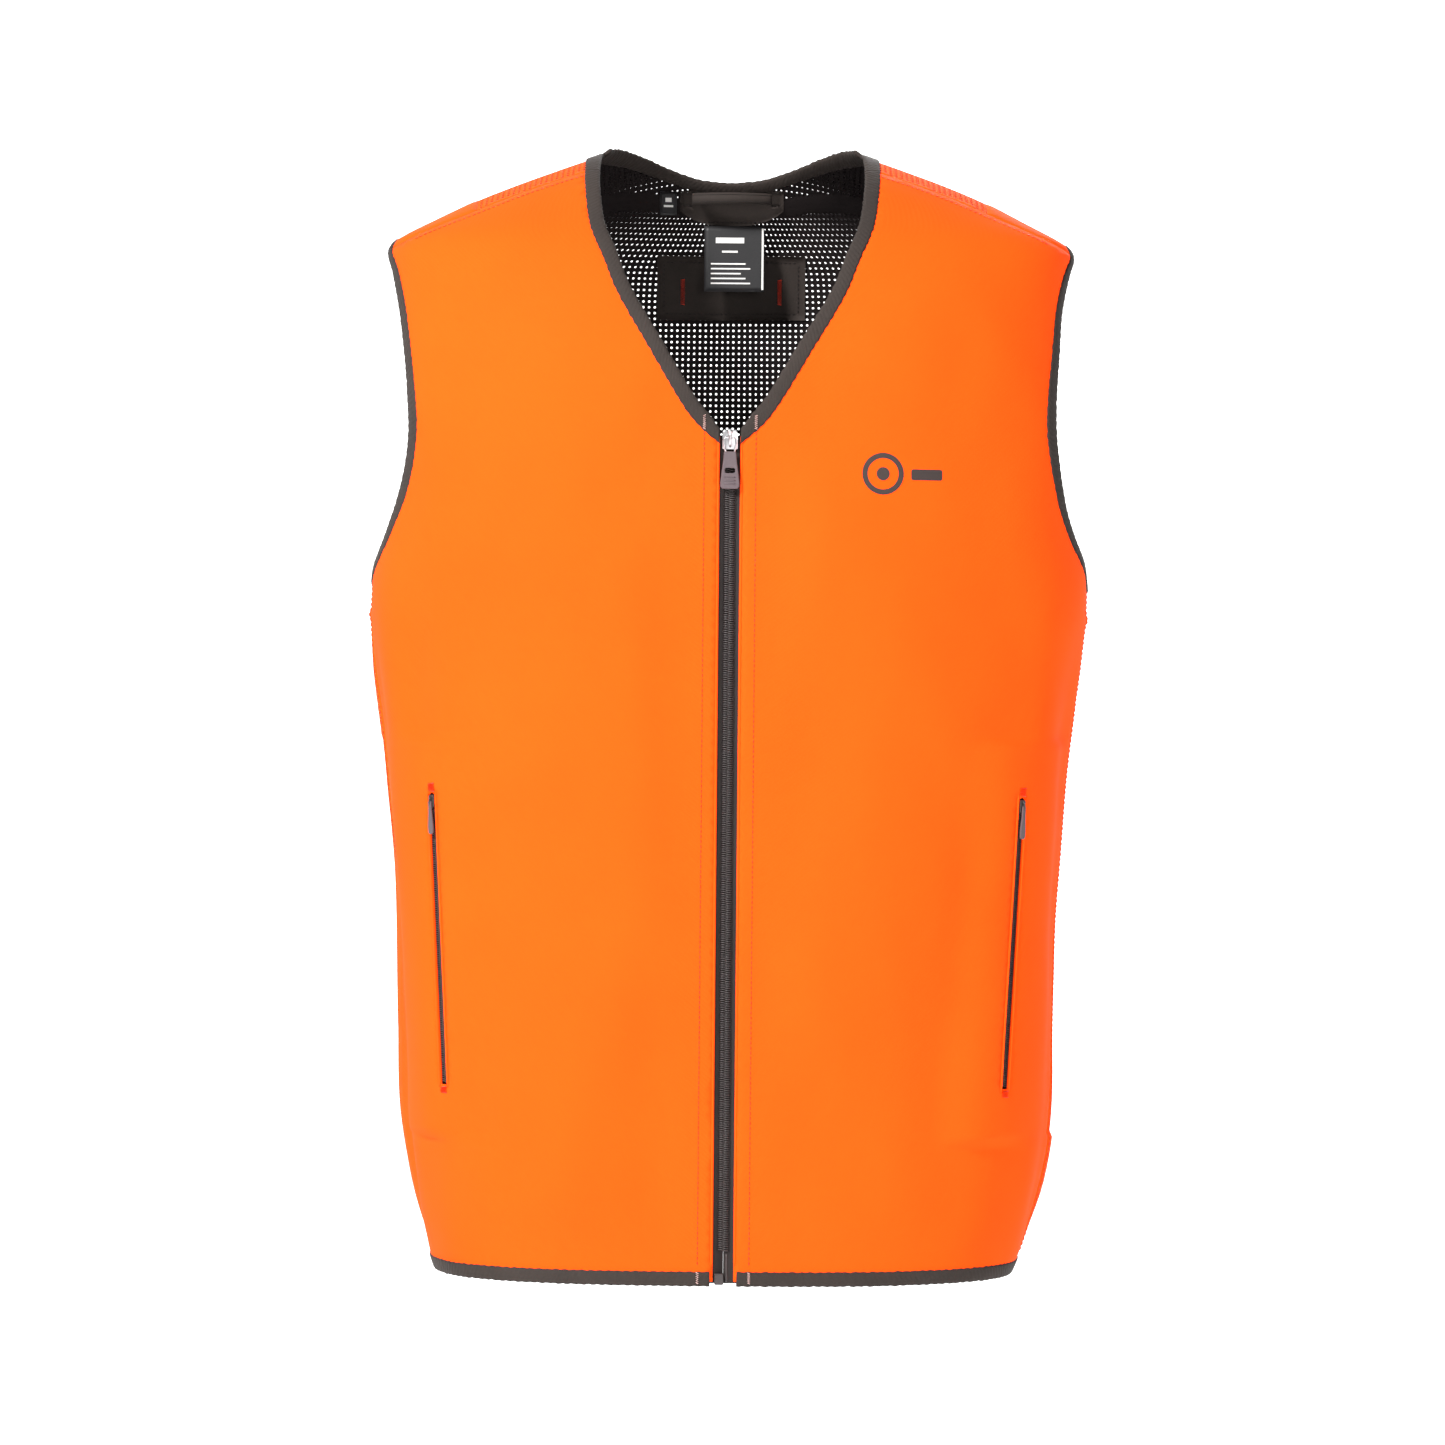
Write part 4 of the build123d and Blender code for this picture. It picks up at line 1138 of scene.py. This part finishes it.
# foot of the zip: a pin on the left tape, and a retainer box on the right tape
pin = ZIP.at(np.array([(2.0, y, -2.0) for y in np.linspace(2.5, 19.5, 12)]))
add("zip_pin", tube(pin, [0.5] + [0.8] * 10 + [0.6], 8), FITTING, "front_left", "zip_fitting",
    ("zip_insertion_pin",))
box_shapes = [moulded(round_box(-5.1, 0.3, 1.1, 7.9, 0.8), -4.1, 0.1, 0.45, ZIP, None, 3),
              moulded(round_box(-4.6, -0.2, 6.4, 7.5, 0.4), -0.2, 0.2, 0.1, ZIP)]
add("zip_box", gather(box_shapes), FITTING, "front_right", "zip_fitting", ("zip_retainer_box",))

# ---------------------------------------------------------------- pocket zips
for side, s in SIDES.items():
    plane = POCKETS[side]
    low, high = 1.0, POCKET_L - 9.0
    rows = [coil((low, high), d * 0.25, d * 1.8, -2.9, -1.1, plane, shift) for d, shift in ((1, 0.4), (-1, 1.0))]
    add("pocket_%s_coils" % side, gather(rows), COIL, "root", "zip_coil", ("pocket_%s_teeth" % side,))
    tapes = [strip(x0, x1, 0.5, POCKET_L - 0.5, -1.9, 0.5, plane) for x0, x1 in ((2.2, 11.5), (-11.5, -2.2))]
    add("pocket_%s_tape_strips" % side, gather(tapes), TAPE, "root", "zip_tape", ("pocket_%s_tapes" % side,))
    top = POCKET_L - 1.0
    body_shape = moulded(round_box(-2.1, 2.1, top - 7.9, top - 0.2, 1.2), -3.1, 0.6, 0.35, plane)
    arch = [(0, top - d, z) for d, z in ((7, 0.4), (6, 1.7), (4, 2.0), (2, 1.6), (1.2, 0.4))]
    arch = plane.at(np.array(arch))
    add("pocket_%s_slider_body" % side, gather([body_shape, tube(even(smooth(arch), 0.5), 0.55, 7)]), FITTING,
        "pocket_%s_slider" % side, "zip_fitting", ("pocket_%s_slider" % side,))
    bar = POCKET_L - 5.0
    half_grip = [(-1.2, bar), (-1.3, bar - 6), (-2.1, bar - 15), (-2.0, bar - 18.4), (-1.2, bar - 19.8)]
    grip = half_grip + [(-x, y) for x, y in reversed(half_grip)]
    add("pocket_%s_pull_moulding" % side, moulded(grip, 0.95, 2.1, 0.35, plane), MOULDING,
        "pocket_%s_pull" % side, "pull_moulding", ("pocket_%s_pull" % side,))
    # lips of the slit, the bag behind it, and the tacks at its ends
    hs = np.arange(POCKET_FOOT - 2, POCKET_HEAD + 3, 3.0)
    lips = [tube(spot(s * (pocket_line_x(hs) + d), hs, 0.35)[0], 0.75, 6, taper=True) for d in (-2.5, 2.5)]
    add("pocket_%s_lips" % side, gather(lips), ORANGE, "root", "orange_shell")
    gx, gh = np.meshgrid(np.linspace(-33, 9, 12), np.linspace(76, 303, 40))
    bag, _ = spot(s * (pocket_line_x(gh.ravel()) + gx.ravel() * 0.9), gh.ravel(), 5.4)
    bag_obj = new_object("bag", place(bag), grid_faces(40, 12), LINING)
    thicken(bag_obj, 1.0, offset=0)
    panels["bag_" + side] = add("pocket_%s_bag_fabric" % side, bag_obj, None, "root", "pocket_lining",
                                ("pocket_%s_bag" % side,))
    tacks = []
    for h0, h1 in ((POCKET_HEAD + 1, POCKET_HEAD + 6), (POCKET_FOOT - 5, POCKET_FOOT - 1)):
        hs = np.linspace(h0, h1, 6)
        p, n = spot(s * pocket_line_x(hs), hs)
        tacks.append(zigzag(p, n, 5.0, 0.55))
    add("pocket_%s_tacks" % side, gather(tacks), TACK, "root", "bartack_thread")

# ---------------------------------------------------------------- stitching
PLACKET_STITCH = 15.4  # the topstitching beside the zip, from the middle of the front

for side, s in SIDES.items():
    hs = np.arange(12.0, 511.0, 3.0)
    p, n = spot(np.full(len(hs), s * PLACKET_STITCH), hs)
    add("placket_%s_stitches" % side, stitches(p, n, 2.0, 1.0, 0.3), THREAD, side=side, slot="bartack_thread")
    roll = spot(np.full(len(hs), s * (FRONT_EDGE + 0.75)), hs, 0.75)[0]
    add("placket_%s_fold" % side, tube(roll, 0.85, 8, taper=True), ORANGE, side=side, slot="orange_shell")
    hs = np.arange(12.0, 424.0, 3.0)
    rows = [(phi_at_y(np.full(len(hs), SIDE_SEAM_Y + 3.5), hs), hs)]
    seams = (("front_seam", False, -3.2), ("back_seam", True, -3.2), ("back_seam", True, 3.0))
    for name, back, shift in seams:
        line = LINES[name]
        ok = (line[:, 0] > (86 if name == "front_seam" else 1)) & (line[:, 0] < (196 if back else 194))
        rows.append(as_angles(even(line[ok], 3.0) + [0, shift], back))
    hh = np.arange(14.0, 630.0, 3.0)
    xs = vent_x(np.maximum(hh, VENT_FOOT)) + 3.0
    rows.append((phi_at_x(xs, hh, True), hh))
    xs = np.arange(1.5, float(vent_x(VENT_FOOT)), 3.0)
    hh = np.full(len(xs), VENT_FOOT - 3.2)
    rows.append((phi_at_x(xs, hh, True), hh))
    row = [stitches(*skin(phi, h, 0, s)) for phi, h in rows]
    add("seams_%s_stitches" % side, gather(row), THREAD, "root", "bartack_thread")
    tacks = []
    for h0, h1 in ((2.0, 9.0), (511.5, 520.0)):
        hs = np.linspace(h0, h1, 5)
        p, n = spot(np.full(5, s * PLACKET_STITCH), hs, -0.75)
        tacks.append(zigzag(p, n, 1.5, 1.2, 0.22))
    add("binding_%s_tacks" % side, gather(tacks), PALE, side=side, slot="bartack_thread")

# ---------------------------------------------------------------- chest mark: a plain ring and a bar
def flat_mark(loops, step=1.2, height=0.18):
    """A thin printed shape on the chest: loops of (x, h) outlines, the second of a pair being a hole."""
    shapes = []
    for outline, hole in loops:
        flat = [Vector(p) for p in outline + (hole or [])]
        n, m = len(outline), len(hole or [])
        edges = [(i, (i + 1) % n) for i in range(n)] + [(n + i, n + (i + 1) % m) for i in range(m)]
        lo, hi = np.min(outline, axis=0), np.max(outline, axis=0)
        grid = [(a, b) for a in np.arange(lo[0], hi[0], step * 2) for b in np.arange(lo[1], hi[1], step * 2)
                if inside(np.array(outline), a, b) and not (hole and inside(np.array(hole), a, b))]
        out = delaunay_2d_cdt(flat + [Vector(g) for g in grid], edges, [], 0, 1e-5, False)
        xy = np.array([tuple(v) for v in out[0]])
        faces = []
        for f in out[2]:
            c = xy[list(f)].mean(axis=0)
            if inside(np.array(outline), *c) and not (hole and inside(np.array(hole), *c)):
                faces.append(tuple(f)[::-1])
        p, _ = spot(xy[:, 0], xy[:, 1], -height)
        shapes.append((p, faces))
    return gather(shapes)


marks = flat_mark([(oval(91, 486, 12.5, 12.5, 48), oval(91, 486, 9.3, 9.3, 48)),
                   (round_box(108, 127, 482.5, 489.0, 1.2), None), (oval(91, 486, 4.0, 4.0, 24), None)])
add("chest_mark", marks, PRINT, side="left", slot="binding")

# ---------------------------------------------------------------- inside and outside of the back
def patch(name, x0, x1, h0, h1, depth, thick, mat, slot, replaces=(), body="root", nx=24, nh=10, corner=0.0):
    """A thin strip sewn to the back, following it."""
    xs, hs = np.linspace(x0, x1, nx), np.linspace(h0, h1, nh)
    gx, gh = np.meshgrid(xs, hs)
    if corner:
        cx, half = (x0 + x1) / 2, (x1 - x0) / 2
        drop = corner * np.abs((gx - cx) / half) ** 3
        gh = np.where(gh < (h0 + h1) / 2, gh + drop * (1 - (gh - h0) / (h1 - h0)), gh)
    p, _ = spot(gx.ravel(), gh.ravel(), depth, back=True)
    q, _ = spot(gx.ravel(), gh.ravel(), depth + thick, back=True)
    quads = grid_faces(nh, nx)
    size = nx * nh
    rim = [k for k in range(nx)] + [i * nx + nx - 1 for i in range(1, nh)]
    rim += [(nh - 1) * nx + k for k in range(nx - 2, -1, -1)] + [i * nx for i in range(nh - 2, 0, -1)]
    sides = [(a, b, b + size, a + size) for a, b in zip(rim, rim[1:] + rim[:1])]
    faces = quads + [tuple(v + size for v in f)[::-1] for f in quads] + sides
    return add(name, (np.vstack([p, q]), faces), mat, body, slot, replaces)


def back_row(x0, x1, h0, h1, depth, inner=True, step=2.0):
    count = max(3, int(math.hypot(x1 - x0, h1 - h0) / step))
    p, n = spot(np.linspace(x0, x1, count), np.linspace(h0, h1, count), depth, back=True)
    return stitches(p, -n if inner else n, 2.0, 0.9, 0.25)


panels["facing"] = patch(
    "neck_facing_fabric", -33, 33, 654.5, 675, 1.75, 0.5, TRIM, "inner_trim", ("neck_facing",), corner=9.0
)
panels["backing"] = patch(
    "tag_backing_fabric", -47.5, 47.5, 595, 635.5, 1.8, 0.6, TRIM, "inner_trim", ("tag_backing",)
)
frame_rows = [
    back_row(-43, 43, 599, 599, 2.5), back_row(-43, 43, 631.5, 631.5, 2.5),
    back_row(-43, -43, 599, 631, 2.5), back_row(43, 43, 599, 631, 2.5), back_row(-31, 31, 657, 657, 2.4),
]
add("inner_trim_stitches", gather(frame_rows), TAPE, "root", "inner_trim")
panels["size_label"] = patch(
    "size_label_fabric", -46, -35, 661, 675, 2.0, 0.4, LABEL, "label", ("size_label",), nx=8, nh=8
)
panels["tag_loop"] = patch(
    "tag_loop_strip", -34, 34, 604, 622, -1.45, 0.9, ORANGE, "tag_strip", ("tag_loop",)
)
tag_tacks = []
for x in (-31.0, 31.0):
    for deep, turn in ((-1.7, 1), (2.5, -1)):
        hs = np.linspace(605.0, 621.0, 9)
        p, n = spot(np.full(9, x), hs, deep, back=True)
        tag_tacks.append(zigzag(p, n * turn, 2.6, 0.6, 0.26))
add("tag_loop_tacks", gather(tag_tacks), TACK, "root", "bartack_thread", ("bartacks",))
add("tag_loop_stitches", gather([back_row(-28, 28, h, h, -1.5, False) for h in (606, 620)]),
    THREAD, "root", "bartack_thread")

# tape over the yoke's back seam, on the inside
xs = np.linspace(-150, 150, 101)
mid = np.interp(np.abs(xs), LINES["back_seam"][:, 0], LINES["back_seam"][:, 1])
levels = [spot(xs, mid + d, 1.65 + 0.25 * (abs(d) < 5), back=True)[0] for d in (-5.5, -4.5, 0, 4.5, 5.5)]
tape_points = np.stack(levels, axis=1).reshape(-1, 3)
add("yoke_seam_tape", (tape_points, grid_faces(101, 5)), LINING, "root", "inner_trim")

# hanging loop: a strip that bows in from the neck facing
bow = np.linspace(-25.3, 25.3, 41)
loop_y = 72.5 - 7.3 * (1 - (bow / 25.3) ** 2) ** 0.8
section = [(-0.45, 665.2), (-0.5, 668.7), (-0.45, 672.3), (0.45, 672.3), (0.5, 668.7), (0.45, 665.2)]
ring = np.array([[(x, y + dy, h) for dy, h in section] for x, y in zip(bow, loop_y)])
loop_shape = (ring.reshape(-1, 3), ring_faces(41, 6))
panels["hang_loop"] = add("hang_loop_strip", loop_shape, TRIM, "hang_loop", "inner_trim", ("hang_loop",))
loop_rows = [tube([(x, y - 0.55, h) for x, y in zip(bow, loop_y)], 0.18, 5) for h in (666.5, 671.0)]
add("hang_loop_stitches", gather(loop_rows), TAPE, "hang_loop", "inner_trim")

# main label: plain bars where the print was, and a pale line down one edge
LABEL_Y = 84.75
xs, hs = np.linspace(-17.3, 21.0, 14), np.linspace(611.2, 652.8, 14)
gx, gh = np.meshgrid(xs, hs)
gy = LABEL_Y + 0.12 * np.sin(gx / 5.0) * (653 - gh) / 42
label_pts = np.column_stack([gx.ravel(), gy.ravel(), gh.ravel()])
label_obj = new_object("label", place(label_pts), grid_faces(14, 14), LABEL)
thicken(label_obj, 0.3, offset=0)
panels["care_label"] = add("care_label_fabric", label_obj, None, "care_label", "label", ("care_label",))


def label_bar(x0, x1, h0, h1):
    y = LABEL_Y - 0.35
    return [(x0, y, h0), (x1, y, h0), (x1, y, h1), (x0, y, h1)], [(0, 1, 2, 3)]


bars = [label_bar(-10, 8, 642, 645.5), label_bar(-6, 4, 636, 637.2), label_bar(19.2, 20.4, 612.5, 651.5)]
bars += [label_bar(-13, 12 - 3 * (i % 3), 616 + 3.1 * i, 616.9 + 3.1 * i) for i in range(5)]
add("care_label_bars", gather(bars), INK, "care_label", "label")
size_bars = []
for x0, x1, h0, h1 in ((-43.5, -37.5, 666, 667.2), (-42.5, -38.5, 669, 671.5)):
    q, _ = spot(np.array([x0, x1, x1, x0]), np.array([h0, h0, h1, h1]), 2.55, back=True)
    size_bars.append((q, [(0, 1, 2, 3)]))
add("size_label_bars", gather(size_bars), INK, "root", "label")

# ---------------------------------------------------------------- the width and length of each sheet, worked out but not kept
for key, obj in panels.items():
    corners = np.array([tuple(obj.matrix_world @ v.co) for v in obj.data.vertices])
    span = corners.max(0) - corners.min(0)
    area = float(obj.get("flat_area", 0)) or sum(f.area for f in obj.data.polygons) / 2
    width, length = float(math.hypot(span[0], span[1] * 0.9)), max(0.01, float(span[2]))
    width = max(width, area / length * 1.02)

# ---------------------------------------------------------------- studio
scene = bpy.context.scene


def set_up(name, mesh, shade, glow):
    """A plain surface of the studio, which is no part of the vest."""
    obj = bpy.data.objects.new(name, mesh)
    scene.collection.objects.link(obj)
    obj.data.materials.append(paint(name, (shade,) * 3, rough=0.9, mottle=0.01, spec=0.1, grain=40.0,
                                    glow=glow, glow_colour=(1, 1, 1)))
    return obj


grid = bmesh.new()
bmesh.ops.create_grid(grid, x_segments=8, y_segments=8, size=30.0)
floor_mesh, wall_mesh = bpy.data.meshes.new("floor"), bpy.data.meshes.new("backdrop")
grid.to_mesh(floor_mesh)
grid.free()
wall_mesh.from_pydata([(-25, 6, -12), (25, 6, -12), (25, 6, 14), (-25, 6, 14)], [], [(0, 1, 2, 3)])
set_up("floor", floor_mesh, 0.86, 0.7).location = (0, 0, -1.04)
set_up("backdrop", wall_mesh, 0.9, 1.0)
scene.view_settings.view_transform = "Standard"

world = bpy.data.worlds.new("studio")
world.use_nodes = True
world.node_tree.nodes["Background"].inputs["Color"].default_value = (1, 1, 1, 1)
world.node_tree.nodes["Background"].inputs["Strength"].default_value = 0.16
scene.world = world


def lamp(name, spot_at, aim, size, power):
    data = bpy.data.lights.new(name, "AREA")
    data.shape, data.size, data.energy = "DISK", size, power
    obj = bpy.data.objects.new(name, data)
    obj.location = spot_at
    obj.rotation_euler = (Vector(aim) - Vector(spot_at)).to_track_quat("-Z", "Y").to_euler()
    scene.collection.objects.link(obj)


lamp("key", (-1.5, -2.0, 1.6), (0, 0, -0.2), 0.6, 190.0)
lamp("fill", (0.7, -3.4, 0.1), (0, 0, -0.3), 0.9, 30.0)
lamp("rear", (0.5, 2.6, 1.3), (0, 0, -0.3), 1.2, 60.0)

camera_data = bpy.data.cameras.new("camera")
camera_data.lens, camera_data.sensor_width = 128.6, 36.0
camera = bpy.data.objects.new("camera", camera_data)
camera.matrix_world = (
    Matrix.Translation((-0.0031, -3.2, -0.351)) @ Matrix.Rotation(math.pi / 2, 4, "X")
    @ Matrix.Rotation(math.radians(0.5), 4, "Z")
)
scene.collection.objects.link(camera)
scene.camera = camera
